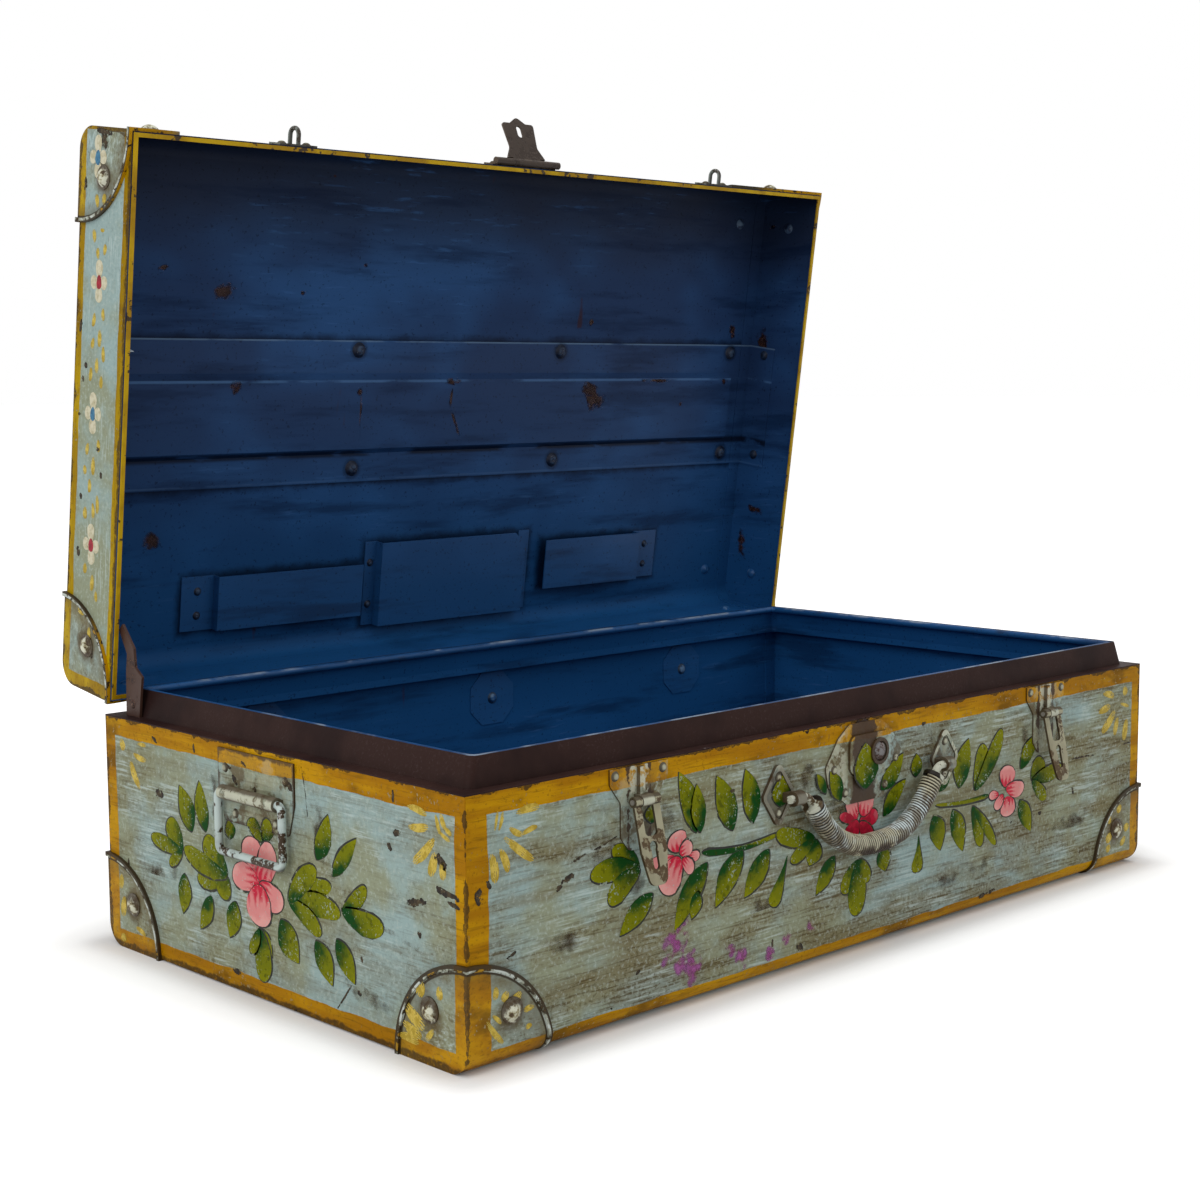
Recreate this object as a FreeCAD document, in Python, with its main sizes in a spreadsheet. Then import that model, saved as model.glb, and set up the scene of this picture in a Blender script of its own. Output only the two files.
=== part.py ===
import FreeCAD, Part
import math
import os
import Sketcher

# Painted sheet-metal trunk, open, in millimetres. The origin is on the floor under the
# middle of the base, +X runs to the right along the front and +Z is up, so the front
# faces -Y. The lid is drawn shut and then turned open about its hinge.

Vector = FreeCAD.Vector

sizes = {
    # the two shells
    "base_length": 660, "base_width": 362, "base_height": 152, "sheet": 0.8,
    "edge_radius": 14, "lid_depth": 61.5, "lid_margin": 3, "lid_seat_gap": 0.5,
    "end_flange": 12, "floor_margin_long": 68, "floor_margin_wide": 22, "floor_radius": 10,
    "lid_rim_width": 2.7, "lid_rim_thick": 1.2,
    # the stand-up lip round the mouth
    "lip_height": 17, "lip_ledge_end": 10, "lip_ledge_side": 8.5, "lip_lean_end": 5,
    "lip_lean_side": 2.5, "lip_skirt": 5, "lip_radius": 5, "bead_radius": 2.4,
    "bead_gap": 0.1,
    # hinge and how far the lid stands open
    "hinge_out": 3, "hinge_rise": 6, "lid_open": 82, "hinge_inset": 120,
    "leaf_width": 43, "leaf_thick": 1.2, "leaf_drop": 28, "leaf_start": 8, "knuckle_radius": 2.4,
    "knuckle_gap": 0.2, "knuckle_middle": 14, "neck_inset": 0.7, "hinge_pin_radius": 1.3,
    "pin_clearance": 0.06, "backing_height": 40, "backing_width": 43, "backing_corner": 11,
    "backing_drop": 8,
    # corner guards
    "guard_radius": 60, "guard_thick": 1.0, "guard_ridge": 2.2, "guard_ridge_width": 3,
    "guard_rivet_inset": 30,
    # rivets
    "big_rivet_radius": 6, "big_rivet_rise": 3.2, "washer_radius": 7.5, "washer_thick": 0.7,
    "rivet_radius": 4.5, "rivet_rise": 2.2, "small_rivet_radius": 3, "small_rivet_rise": 1.6,
    # carrying handle on the front
    "handle_plate_spacing": 84, "handle_plate_half_width": 15, "handle_plate_half_height": 21.5,
    "handle_plate_drop": 37, "handle_plate_thick": 1.2, "handle_plate_rim": 0.9,
    "handle_plate_round": 4, "handle_plate_rivet_height": 11,
    "eye_inner": 72, "eye_length": 8, "eye_radius": 4.6, "eye_stem": 3, "handle_out": 9.5,
    "handle_eye_below": 2, "handle_pin_radius": 2.5, "handle_pin_end": 83,
    "handle_reach": 40, "handle_low_half": 36, "handle_shoulder": 66, "handle_low_bend": 60,
    "handle_top_bend": 8, "grip_radius": 5.4, "collar_radius": 6.9, "collar_length": 2.5,
    "winding_wire_radius": 0.62, "winding_gap": 0.06, "winding_pitch": 2.0,
    # swinging latches
    "latch_inset": 127, "latch_plate_top_drop": 1.5, "latch_plate_half": 23,
    "latch_plate_shoulder": 9, "latch_plate_waist": 20, "latch_plate_drop": 48,
    "latch_waist_half": 14.5, "latch_foot_half": 8, "latch_plate_thick": 1.2, "latch_round": 4,
    "latch_rivet_side": 19, "latch_rivet_drop": 4, "latch_pivot_drop": 21,
    "latch_out": 6, "latch_knuckle_radius": 3.4, "latch_knuckle_half": 4.4,
    "latch_rib_half": 2, "latch_rib_height": 4, "latch_rib_drop": 2, "latch_pin_radius": 1.5,
    "latch_pin_half": 10.6, "lever_half": 10, "lever_gap_half": 4.8, "lever_length": 48,
    "lever_thick": 1.6, "lever_fork": 20, "lever_tip_half": 6.5, "lever_round": 5,
    "lever_taper": 29, "lever_barrel_radius": 3.1, "lever_hole_radius": 3,
    "lever_hole_drop": 26, "lever_slot_half": 2.3, "lever_slot_end": 39, "lever_tilt": 13,
    # lid keepers that the latches catch
    "keeper_plate_half": 15, "keeper_rise": 3.5, "keeper_tall": 9.5, "keeper_reach": 11.5,
    "keeper_wire_radius": 1.5, "keeper_plate_thick": 1.2, "keeper_plate_margin": 1.5,
    "keeper_bend": 4.5, "keeper_root": 0.6,
    # lock plate, its case and its button
    "lock_plate_thick": 1.2, "lock_top_drop": 2.5, "lock_top_half": 16, "lock_shoulder_half": 27,
    "lock_shoulder": 8, "lock_wide_half": 39, "lock_wide": 25, "lock_low_half": 36,
    "lock_low": 38, "lock_foot_half": 18, "lock_foot": 51, "lock_round": 5,
    "lock_boss_left": 17, "lock_boss_right": 25, "lock_boss_drop": 10, "lock_boss_tall": 25,
    "lock_boss_rise": 1.8, "lock_boss_round": 6, "button_side": 12, "button_drop": 22.5,
    "button_radius": 6.4, "button_clearance": 0.1, "button_rise": 2.6, "button_depth": 9,
    "button_travel": 3, "button_ring_width": 2.2, "button_ring_rise": 1.3,
    "lock_slot_side": 5, "lock_slot_half": 1.3, "lock_slot_drop": 17, "lock_slot_tall": 10,
    "lock_case_depth": 14, "lock_rivet_side": 31, "lock_rivet_drop": 27,
    "lock_rivet_low_side": 20, "lock_rivet_low_drop": 43,
    # hasp on the lid's front edge
    "hasp_side": 3, "hasp_pivot_rise": 2.5, "hasp_out": 3.2, "hasp_knuckle_radius": 2.6,
    "hasp_base_half": 30.5, "hasp_base_rise": 5, "hasp_base_tall": 9.5,
    "hasp_base_thick": 1.2, "hasp_knuckle_half": 13, "hasp_neck": 1.8, "hasp_leaf_thick": 1.5,
    "hasp_flare_half": 18, "hasp_flare_drop": 3.3, "hasp_waist_half": 13, "hasp_waist_drop": 12,
    "hasp_tip_half": 15, "hasp_tip_drop": 31, "hasp_leaf_length": 36, "hasp_tip_round": 4,
    "hasp_notch": 30, "hasp_hole_half": 2.5, "hasp_hole_top": 20, "hasp_hole_low": 29,
    "hasp_pin_radius": 1.3, "hasp_turn": 119, "hasp_rivet_side": 24,
    # square bails on the ends
    "bail_side": 9, "bail_pivot_drop": 29, "bail_out": 5.6, "bail_wire_radius": 2.5,
    "bail_half": 33, "bail_drop": 36.5, "bail_bend": 4, "bail_tube_radius": 4.3,
    "bail_tube_half": 28.5, "bail_plate_half": 39, "bail_plate_drop": 4, "bail_plate_tall": 44,
    "bail_plate_low_half": 33, "bail_plate_thick": 1.2, "bail_clearance": 0.08,
    "bail_rivet_side": 31, "bail_rivet_drop": 15.5, "bail_rivet_low_side": 21,
    "bail_rivet_low_drop": 42, "bail_plate_round": 4,
    # stay strap in the back left corner
    "stay_thick": 1.8, "stay_inset": 8, "stay_head_room": 2.5, "stay_rivet_up": 8,
    "stay_rivet_back": 21.5, "stay_rivet_radius": 3, "stay_rivet_rise": 1.0,
    # strap and clips inside the lid
    "strap_front": 48, "strap_rise_front": 20, "strap_rise_back": 31, "strap_back": 56,
    "strap_thick": 1.0, "strap_rise": 5, "strap_end_inset": 27, "strap_tab": 29,
    "flange_gap": 0.1, "strap_rivet_inner": 100, "strap_rivet_front": 41,
    "strap_rivet_back": 46, "strap_tab_rivet": 18,
    "clip_thick": 1.0, "clip_rise": 7, "clip_foot": 26,
    "clip_left_inset": 87, "clip_left_gap": 6, "clip_left_margin": 24, "clip_left_wide": 39,
    "clip_right_inset": 98, "clip_right_gap": 14, "clip_right_margin": 30,
    "clip_right_wide": 40, "pocket_half": 82, "pocket_margin": 0.5, "pocket_wide": 64,
    "pocket_rise": 9, "pocket_foot": 10, "pocket_notch": 16,
    "overrun": 5,
}

# outline of the stay strap, as shares of its height up from the ledge and of that same
# height measured forward from the back wall's outer face
stay_outline_shares = [
    (0.22, 0.0), (0.49, 0.0), (0.52, 0.22), (0.56, 0.45), (0.43, 0.54), (0.41, 0.75),
    (0.19, 1.0), (0.12, 0.93), (0.27, 0.68), (0.24, 0.50),
]
grip_end_share = 0.87


class Length:
    """A size with its number and the sheet formula that gives it."""

    def __init__(self, number, formula):
        self.number = number
        self.formula = formula

    def __add__(self, other):
        other = measure(other)
        return Length(self.number + other.number, f"({self.formula} + {other.formula})")

    def __sub__(self, other):
        other = measure(other)
        return Length(self.number - other.number, f"({self.formula} - {other.formula})")

    def __rsub__(self, other):
        return measure(other) - self

    def __mul__(self, other):
        other = measure(other)
        return Length(self.number * other.number, f"({self.formula} * {other.formula})")

    def __truediv__(self, other):
        other = measure(other)
        return Length(self.number / other.number, f"({self.formula} / {other.formula})")

    def __neg__(self):
        return Length(-self.number, f"(0 - {self.formula})")

    __radd__ = __add__
    __rmul__ = __mul__


def measure(value):
    if isinstance(value, Length):
        return value
    return Length(float(value), repr(float(value)))


class Sheet:
    """The driving sizes, one attribute for each cell."""


document = FreeCAD.newDocument("Trunk")
cells = document.addObject("Spreadsheet::Sheet", "Sizes")
size = Sheet()
for row, (name, value) in enumerate(sizes.items(), 1):
    cells.set(f"A{row}", name)
    cells.set(f"B{row}", str(value))
    cells.setAlias(f"B{row}", name)
    setattr(size, name, Length(float(value), "Sizes." + name))
document.recompute()

half_length = size.base_length / 2
half_width = size.base_width / 2
foot = size.guard_thick
wall_top = size.base_height - size.sheet
lid_half_length = half_length - size.lid_margin
lid_edge = size.base_height + size.lid_seat_gap
lid_top = lid_edge + size.lid_depth
hinge_y = half_width + size.hinge_out
hinge_z = size.base_height + size.hinge_rise
hinge_spacing = half_length - size.hinge_inset
backing_top = size.base_height - size.backing_drop

handle_plate_height = size.base_height - size.handle_plate_drop
handle_eye_height = handle_plate_height - size.handle_eye_below
handle_low = handle_eye_height - size.handle_reach

latch_spacing = half_length - size.latch_inset
latch_plate_top = size.base_height - size.latch_plate_top_drop
latch_pivot_height = size.base_height - size.latch_pivot_drop
latch_rib_top = size.base_height - size.latch_rib_drop
keeper_low = lid_edge + size.keeper_rise
keeper_high = keeper_low + size.keeper_tall

lock_top = size.base_height - size.lock_top_drop
lock_boss_top = size.base_height - size.lock_boss_drop
lock_boss_low = lock_boss_top - size.lock_boss_tall
button_height = size.base_height - size.button_drop
lock_slot_top = size.base_height - size.lock_slot_drop
lock_slot_low = lock_slot_top - size.lock_slot_tall
hasp_pivot_height = size.base_height + size.hasp_pivot_rise
hasp_base_low = lid_edge + size.hasp_base_rise
hasp_base_high = hasp_base_low + size.hasp_base_tall

bail_height = size.base_height - size.bail_pivot_drop
bail_plate_top = size.base_height - size.bail_plate_drop
bail_plate_low = bail_plate_top - size.bail_plate_tall
bail_rivet_high = size.base_height - size.bail_rivet_drop
bail_rivet_low = size.base_height - size.bail_rivet_low_drop

stay_height = size.lid_depth - size.stay_head_room
stay_rivet_height = size.base_height + size.stay_rivet_up
strap_rise_half = lid_half_length - size.strap_end_inset
strap_rivet_outer = strap_rise_half
clip_left_start = lid_half_length - size.clip_left_inset
clip_left_end = size.pocket_half + size.clip_left_gap
clip_left_back = half_width - size.clip_left_margin
clip_left_front = clip_left_back - size.clip_left_wide
clip_right_start = size.pocket_half + size.clip_right_gap
clip_right_end = lid_half_length - size.clip_right_inset
clip_right_back = half_width - size.clip_right_margin
clip_right_front = clip_right_back - size.clip_right_wide
pocket_back = half_width - size.edge_radius - size.pocket_margin
pocket_front = pocket_back - size.pocket_wide

hinge_centre = Vector(0, hinge_y.number, hinge_z.number)
lid_placement = FreeCAD.Placement(
    Vector(), FreeCAD.Rotation(Vector(-1, 0, 0), size.lid_open.number), hinge_centre
)

nodes = []


def keep(thing, label):
    thing.Label = label
    nodes.append(thing)
    return thing


def bind(thing, name, length):
    thing.setExpression(name, measure(length).formula)


def new_body(name):
    return document.addObject("PartDesign::Body", name)


def new_sketch(owner, role, rise=0):
    made = owner.newObject("Sketcher::SketchObject", owner.Name + "_outline")
    for plane in owner.Origin.OriginFeatures:
        if plane.Role == role:
            made.AttachmentSupport = (plane, [""])
    made.MapMode = "FlatFace"
    bind(made, "AttachmentOffset.Base.z", rise)
    return made


def fix(made, kind, item, point, length):
    length = measure(length)
    number = made.addConstraint(Sketcher.Constraint(kind, item, point, length.number))
    made.setExpression(f"Constraints[{number}]", length.formula)


def fix_radius(made, item, radius):
    radius = measure(radius)
    number = made.addConstraint(Sketcher.Constraint("Radius", item, radius.number))
    made.setExpression(f"Constraints[{number}]", radius.formula)


def corner_cut(before, corner, after, radius):
    """Where a rounded corner starts and ends, and its centre."""
    towards = (before - corner).normalize()
    onwards = (after - corner).normalize()
    half = towards.getAngle(onwards) / 2
    back = radius / math.tan(half)
    centre = corner + (towards + onwards).normalize() * (radius / math.sin(half))
    return corner + towards * back, corner + onwards * back, centre


def line_through(made, corners, closed=True):
    """Straight runs through the corners, rounded where a corner has a radius."""
    spots = [Vector(measure(c[0]).number, measure(c[1]).number, 0) for c in corners]
    count = len(spots)
    entry = list(spots)
    leave = list(spots)
    arcs = {}
    for i, corner in enumerate(corners):
        if len(corner) < 3:
            continue
        radius = measure(corner[2])
        before = spots[i - 1]
        after = spots[(i + 1) % count]
        entry[i], leave[i], centre = corner_cut(before, spots[i], after, radius.number)
        left_turn = (spots[i] - before).cross(after - spots[i]).z > 0
        first, last = (entry[i], leave[i]) if left_turn else (leave[i], entry[i])
        start = math.atan2(first.y - centre.y, first.x - centre.x)
        end = math.atan2(last.y - centre.y, last.x - centre.x)
        circle = Part.Circle(centre, Vector(0, 0, 1), radius.number)
        arc = made.addGeometry(Part.ArcOfCircle(circle, start, end), False)
        mark = made.addGeometry(Part.Point(spots[i]), True)
        fix(made, "DistanceX", mark, 1, corner[0])
        fix(made, "DistanceY", mark, 1, corner[1])
        arcs[i] = (arc, mark, 1 if left_turn else 2, 2 if left_turn else 1, radius)
    runs = {}
    for i in range(count if closed else count - 1):
        j = (i + 1) % count
        runs[i] = made.addGeometry(Part.LineSegment(leave[i], entry[j]), False)
    for i in range(count):
        before = runs.get((i - 1) % count) if closed or i else None
        after = runs.get(i)
        if i in arcs:
            arc, mark, arc_start, arc_end, radius = arcs[i]
            made.addConstraint(Sketcher.Constraint("PointOnObject", mark, 1, before))
            made.addConstraint(Sketcher.Constraint("PointOnObject", mark, 1, after))
            made.addConstraint(Sketcher.Constraint("Tangent", before, 2, arc, arc_start))
            made.addConstraint(Sketcher.Constraint("Tangent", arc, arc_end, after, 1))
            fix_radius(made, arc, radius)
            continue
        if before is not None and after is not None:
            made.addConstraint(Sketcher.Constraint("Coincident", before, 2, after, 1))
        item, end = (after, 1) if after is not None else (before, 2)
        fix(made, "DistanceX", item, end, corners[i][0])
        fix(made, "DistanceY", item, end, corners[i][1])
    return made


def ring(made, x, y, radius):
    centre = Vector(measure(x).number, measure(y).number, 0)
    circle = Part.Circle(centre, Vector(0, 0, 1), measure(radius).number)
    item = made.addGeometry(circle, False)
    fix(made, "DistanceX", item, 3, x)
    fix(made, "DistanceY", item, 3, y)
    fix_radius(made, item, radius)
    return made


def box_corners(x0, y0, x1, y1, radius=None):
    corners = [(x0, y0), (x1, y0), (x1, y1), (x0, y1)]
    if radius is None:
        return corners
    return [(x, y, radius) for x, y in corners]


def grow(owner, profile, kind, length, reverse=False):
    feature = owner.newObject("PartDesign::" + kind, owner.Name + "_" + kind.lower())
    feature.Profile = profile
    feature.Reversed = reverse
    bind(feature, "Length", length)
    return feature


def pad(owner, role, rise, length, *loops):
    """Material from the plane at this rise, along the plane's own normal."""
    profile = new_sketch(owner, role, rise)
    for corners in loops:
        draw(profile, corners)
    return grow(owner, profile, "Pad", length)


def pocket(owner, role, rise, length, *loops):
    """A cut from the plane at this rise, along the plane's own normal."""
    profile = new_sketch(owner, role, rise)
    for corners in loops:
        draw(profile, corners)
    document.recompute()
    before = owner.Shape.Volume
    feature = grow(owner, profile, "Pocket", length, True)
    document.recompute()
    if owner.Shape.Volume >= before:
        raise ValueError(owner.Name + " has a cut that removes nothing")
    return feature


def draw(profile, corners):
    if len(corners) == 3 and not isinstance(corners[0], tuple):
        ring(profile, *corners)
    else:
        line_through(profile, corners)


def pipe(owner, path, profile):
    feature = owner.newObject("PartDesign::AdditivePipe", owner.Name + "_pipe")
    feature.Profile = profile
    feature.Spine = (path, [])
    feature.Transition = 0
    return feature


def loft(owner, kind, low, high):
    feature = owner.newObject("PartDesign::" + kind, owner.Name + "_loft")
    feature.Profile = low
    feature.Sections = [high]
    feature.Ruled = True
    return feature


def dome(x, y, z, out, radius, rise):
    """A rivet head with its flat at this point."""
    x, y, z, radius, rise = (measure(v) for v in (x, y, z, radius, rise))
    ball = (radius * radius + rise * rise) / (rise * 2)
    sunk = ball - rise
    made = document.addObject("Part::Sphere", "rivet_head")
    bind(made, "Radius", ball)
    made.Angle1 = math.degrees(math.asin(sunk.number / ball.number))
    made.setExpression("Angle1", f"asin({sunk.formula} / {ball.formula})")
    made.Placement.Rotation = FreeCAD.Rotation(Vector(0, 0, 1), Vector(*out))
    for axis, place, way in zip("xyz", (x, y, z), out):
        bind(made, "Placement.Base." + axis, place - sunk * way)
    return made


def disc(x, y, z, out, radius, thick):
    made = document.addObject("Part::Cylinder", "disc")
    bind(made, "Radius", radius)
    bind(made, "Height", thick)
    made.Placement.Rotation = FreeCAD.Rotation(Vector(0, 0, 1), Vector(*out))
    for axis, place in zip("xyz", (x, y, z)):
        bind(made, "Placement.Base." + axis, place)
    return made


def rivet(x, y, z, out):
    return [dome(x, y, z, out, size.rivet_radius, size.rivet_rise)]


def small_rivet(x, y, z, out):
    return [dome(x, y, z, out, size.small_rivet_radius, size.small_rivet_rise)]


def big_rivet(x, y, z, out):
    """A domed head on its washer."""
    shift = [measure(v) + size.washer_thick * way for v, way in zip((x, y, z), out)]
    return [
        disc(x, y, z, out, size.washer_radius, size.washer_thick),
        dome(*shift, out, size.big_rivet_radius, size.big_rivet_rise),
    ]


def bundle(label, things, placement=None):
    made = document.addObject("Part::Compound", label)
    made.Links = things
    if placement:
        made.Placement = placement
    return keep(made, label)


def boolean(kind, name, first, second):
    made = document.addObject("Part::" + kind, name)
    made.Base = first
    made.Tool = second
    return made


def mirrored(source, name, normal):
    made = document.addObject("Part::Mirroring", name)
    made.Source = source
    made.Normal = Vector(*normal)
    return made


FRONT = (0, -1, 0)
BACK = (0, 1, 0)
LEFT = (-1, 0, 0)
RIGHT = (1, 0, 0)
UP = (0, 0, 1)
DOWN = (0, 0, -1)


# Shells. One sheet makes front, floor and back of the base, another front, top and back
# of the lid, each with rounded long edges. Flanged end sheets close them.

def channel(half, edge, floor, radius, wall, up):
    return [
        (-half, edge), (-half, floor, radius), (half, floor, radius), (half, edge),
        (half - wall, edge), (half - wall, floor + wall * up, radius - wall),
        (-half + wall, floor + wall * up, radius - wall), (-half + wall, edge),
    ]


def end_sheet(name, side, half, edge, floor, up, reach):
    made = new_body(name)
    face = [(-half, edge), (-half, floor, size.edge_radius), (half, floor, size.edge_radius),
            (half, edge)]
    inner = channel(half - size.sheet, edge, floor + size.sheet * up,
                    size.edge_radius - size.sheet, size.sheet, up)
    outside = -reach if side < 0 else reach - size.sheet
    flange = size.sheet - reach if side < 0 else reach - size.sheet - size.end_flange
    pad(made, "YZ_Plane", outside, size.sheet, face)
    pad(made, "YZ_Plane", flange, size.end_flange, inner)
    return keep(made, name)


base_wrap = new_body("base_wrap")
pad(base_wrap, "YZ_Plane", size.sheet - half_length, size.base_length - size.sheet * 2,
    channel(half_width, wall_top, foot, size.edge_radius, size.sheet, 1))
field_long = half_length - size.floor_margin_long
field_wide = half_width - size.floor_margin_wide
pad(base_wrap, "XY_Plane", 0, foot + size.sheet / 2,
    box_corners(-field_long, -field_wide, field_long, field_wide, size.floor_radius))
pan_long = field_long - size.sheet
pan_wide = field_wide - size.sheet
pocket(base_wrap, "XY_Plane", size.sheet, foot + size.overrun,
       box_corners(-pan_long, -pan_wide, pan_long, pan_wide, size.floor_radius - size.sheet))
button_hole = size.button_radius + size.button_clearance
pocket(base_wrap, "XZ_Plane", half_width - size.overrun, size.overrun * 2,
       (size.button_side, button_height, button_hole))
keep(base_wrap, "base_wrap")
end_sheet("base_end_left", -1, half_width, wall_top, foot, 1, half_length)
end_sheet("base_end_right", 1, half_width, wall_top, foot, 1, half_length)

lid_wrap = new_body("lid_wrap")
pad(lid_wrap, "YZ_Plane", size.sheet - lid_half_length, (lid_half_length - size.sheet) * 2,
    channel(half_width, lid_edge, lid_top, size.edge_radius, size.sheet, -1))
keep(lid_wrap, "lid_wrap").Placement = lid_placement
for name, side in (("lid_end_left", -1), ("lid_end_right", 1)):
    end_sheet(name, side, half_width, lid_edge + size.lid_rim_thick, lid_top, -1,
              lid_half_length).Placement = lid_placement

lid_rim = new_body("lid_rim")
rim_long = lid_half_length - size.sheet
rim_wide = half_width - size.sheet
rim_in = size.lid_rim_width
pad(lid_rim, "XY_Plane", lid_edge, size.lid_rim_thick,
    box_corners(-rim_long, -rim_wide, rim_long, rim_wide),
    box_corners(rim_in - rim_long, rim_in - rim_wide, rim_long - rim_in, rim_wide - rim_in))
keep(lid_rim, "lid_rim").Placement = lid_placement


# Lip. A ledge turns in from the wall tops, a short skirt hangs below it, and the lip
# stands up from its inner edge, leaning in a little, with a rolled bead inside the top.

def mouth(end_inset, side_inset, radius):
    long_half = half_length - end_inset
    wide_half = half_width - side_inset
    return box_corners(-long_half, -wide_half, long_half, wide_half, radius)


lip = new_body("rim_lip")
ends, sides = size.lip_ledge_end, size.lip_ledge_side
loft_pairs = []
for inset, radius in ((measure(0), size.lip_radius), (size.sheet, size.lip_radius - size.sheet)):
    low = line_through(new_sketch(lip, "XY_Plane", wall_top),
                       mouth(ends + inset, sides + inset, radius))
    high = line_through(new_sketch(lip, "XY_Plane", size.base_height + size.lip_height),
                        mouth(ends + size.lip_lean_end + inset,
                              sides + size.lip_lean_side + inset, radius))
    loft_pairs.append((low, high))
loft(lip, "AdditiveLoft", *loft_pairs[0])
loft(lip, "SubtractiveLoft", *loft_pairs[1])
pad(lip, "XY_Plane", wall_top, size.sheet, box_corners(
    -half_length, -half_width, half_length, half_width),
    mouth(ends + size.sheet, sides + size.sheet, size.lip_radius - size.sheet))
pad(lip, "XY_Plane", wall_top - size.lip_skirt, size.lip_skirt,
    mouth(ends, sides, size.lip_radius),
    mouth(ends + size.sheet, sides + size.sheet, size.lip_radius - size.sheet))
keep(lip, "rim_lip")

bead = new_body("rim_bead")
bead_height = size.base_height + size.lip_height - size.bead_radius
lean_share = 1.02
bead_in = size.sheet * lean_share + size.bead_radius + size.bead_gap
bead_long = half_length - ends - size.lip_lean_end - bead_in
bead_wide = half_width - sides - size.lip_lean_side - bead_in
bead_path = line_through(new_sketch(bead, "XY_Plane", bead_height),
                         [(0, -bead_wide)] + [
                             (bead_long, -bead_wide, size.lip_radius),
                             (bead_long, bead_wide, size.lip_radius),
                             (-bead_long, bead_wide, size.lip_radius),
                             (-bead_long, -bead_wide, size.lip_radius)])
bead_round = ring(new_sketch(bead, "YZ_Plane"), -bead_wide, bead_height, size.bead_radius)
pipe(bead, bead_path, bead_round)
keep(bead, "rim_bead")


# Corner guards. Each is a pressed cap over three faces with a round edge that is raised
# into a ridge, mirrored to all four corners, and held by domed rivets on washers.

def guard_block(name, reach, half, floor, up, side_grow, floor_grow):
    made = new_body(name)
    edge = size.guard_radius + size.overrun
    outer = -half - side_grow
    level = floor - floor_grow * up
    corners = [(outer, floor + edge * up), (outer, level, size.edge_radius + floor_grow),
               (edge - half, level), (edge - half, floor + edge * up)]
    pad(made, "YZ_Plane", -reach - side_grow, edge + side_grow, corners)
    return made


def ball(x, y, z, radius):
    made = document.addObject("Part::Sphere", "ball")
    bind(made, "Radius", radius)
    for axis, place in zip("xyz", (x, y, z)):
        bind(made, "Placement.Base." + axis, place)
    return made


def guards(prefix, reach, half, floor, up, ridge_floor, placement):
    core = guard_block(prefix + "_core", reach, half, floor, up, measure(0), measure(0))
    skin = guard_block(prefix + "_skin", reach, half, floor, up, size.guard_thick,
                       size.guard_thick)
    edge = guard_block(prefix + "_edge", reach, half, floor, up, size.guard_ridge, ridge_floor)
    outer = ball(-reach, -half, floor, size.guard_radius)
    inner = ball(-reach, -half, floor, size.guard_radius - size.guard_ridge_width)
    cap = boolean("Common", prefix + "_cap", boolean("Cut", prefix + "_shell", skin, core), outer)
    band = boolean("Cut", prefix + "_band",
                   boolean("Common", prefix + "_round", boolean(
                       "Cut", prefix + "_rise", edge, core), outer), inner)
    front_left = boolean("Fuse", prefix + "_form", cap, band)
    front_right = mirrored(front_left, prefix + "_mirror_x", RIGHT)
    back_left = mirrored(front_left, prefix + "_mirror_y", BACK)
    back_right = mirrored(front_right, prefix + "_mirror_xy", BACK)
    for name, source in (("front_left", front_left), ("front_right", front_right),
                         ("back_left", back_left), ("back_right", back_right)):
        bundle(f"{prefix}_{name}", [source], placement)


guards("base_guard", half_length, half_width, foot, 1, size.guard_thick, None)
guards("lid_guard", lid_half_length, half_width, lid_top, -1, size.guard_ridge, lid_placement)

inset = size.guard_rivet_inset
heads = []
for side in (-1, 1):
    for face in (-1, 1):
        heads += big_rivet((half_length - inset) * side, (half_width + size.guard_thick) * face,
                           foot + inset, (0, face, 0))
        heads += big_rivet((half_length + size.guard_thick) * side, (half_width - inset) * face,
                           foot + inset, (side, 0, 0))
bundle("base_guard_rivets", heads)

heads = []
for side in (-1, 1):
    for face in (-1, 1):
        long_in = (lid_half_length - inset) * side
        wide_in = (half_width - inset) * face
        heads += big_rivet(long_in, (half_width + size.guard_thick) * face, lid_top - inset,
                           (0, face, 0))
        heads += big_rivet((lid_half_length + size.guard_thick) * side, wide_in,
                           lid_top - inset, (side, 0, 0))
        heads += big_rivet(long_in, wide_in, lid_top + size.guard_thick, UP)
        heads += rivet(long_in, (half_width - size.sheet) * face, lid_top - inset, (0, -face, 0))
        heads += rivet((lid_half_length - size.sheet) * side, wide_in, lid_top - inset,
                       (-side, 0, 0))
        heads += rivet(long_in, wide_in, lid_top - size.sheet, DOWN)
bundle("lid_guard_rivets", heads, lid_placement)


# Carrying handle. Diamond plates with a raised rim carry an eye each, and a bent rod
# with a thick middle hangs in the eyes, its middle wound with wire between two collars.

handle_y = half_width + size.handle_out


def diamond(x, z, share):
    wide = size.handle_plate_half_width * share
    tall = size.handle_plate_half_height * share
    turn = size.handle_plate_round * share
    return [(x, z - tall, turn), (x + wide, z, turn), (x, z + tall, turn), (x - wide, z, turn)]


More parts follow.
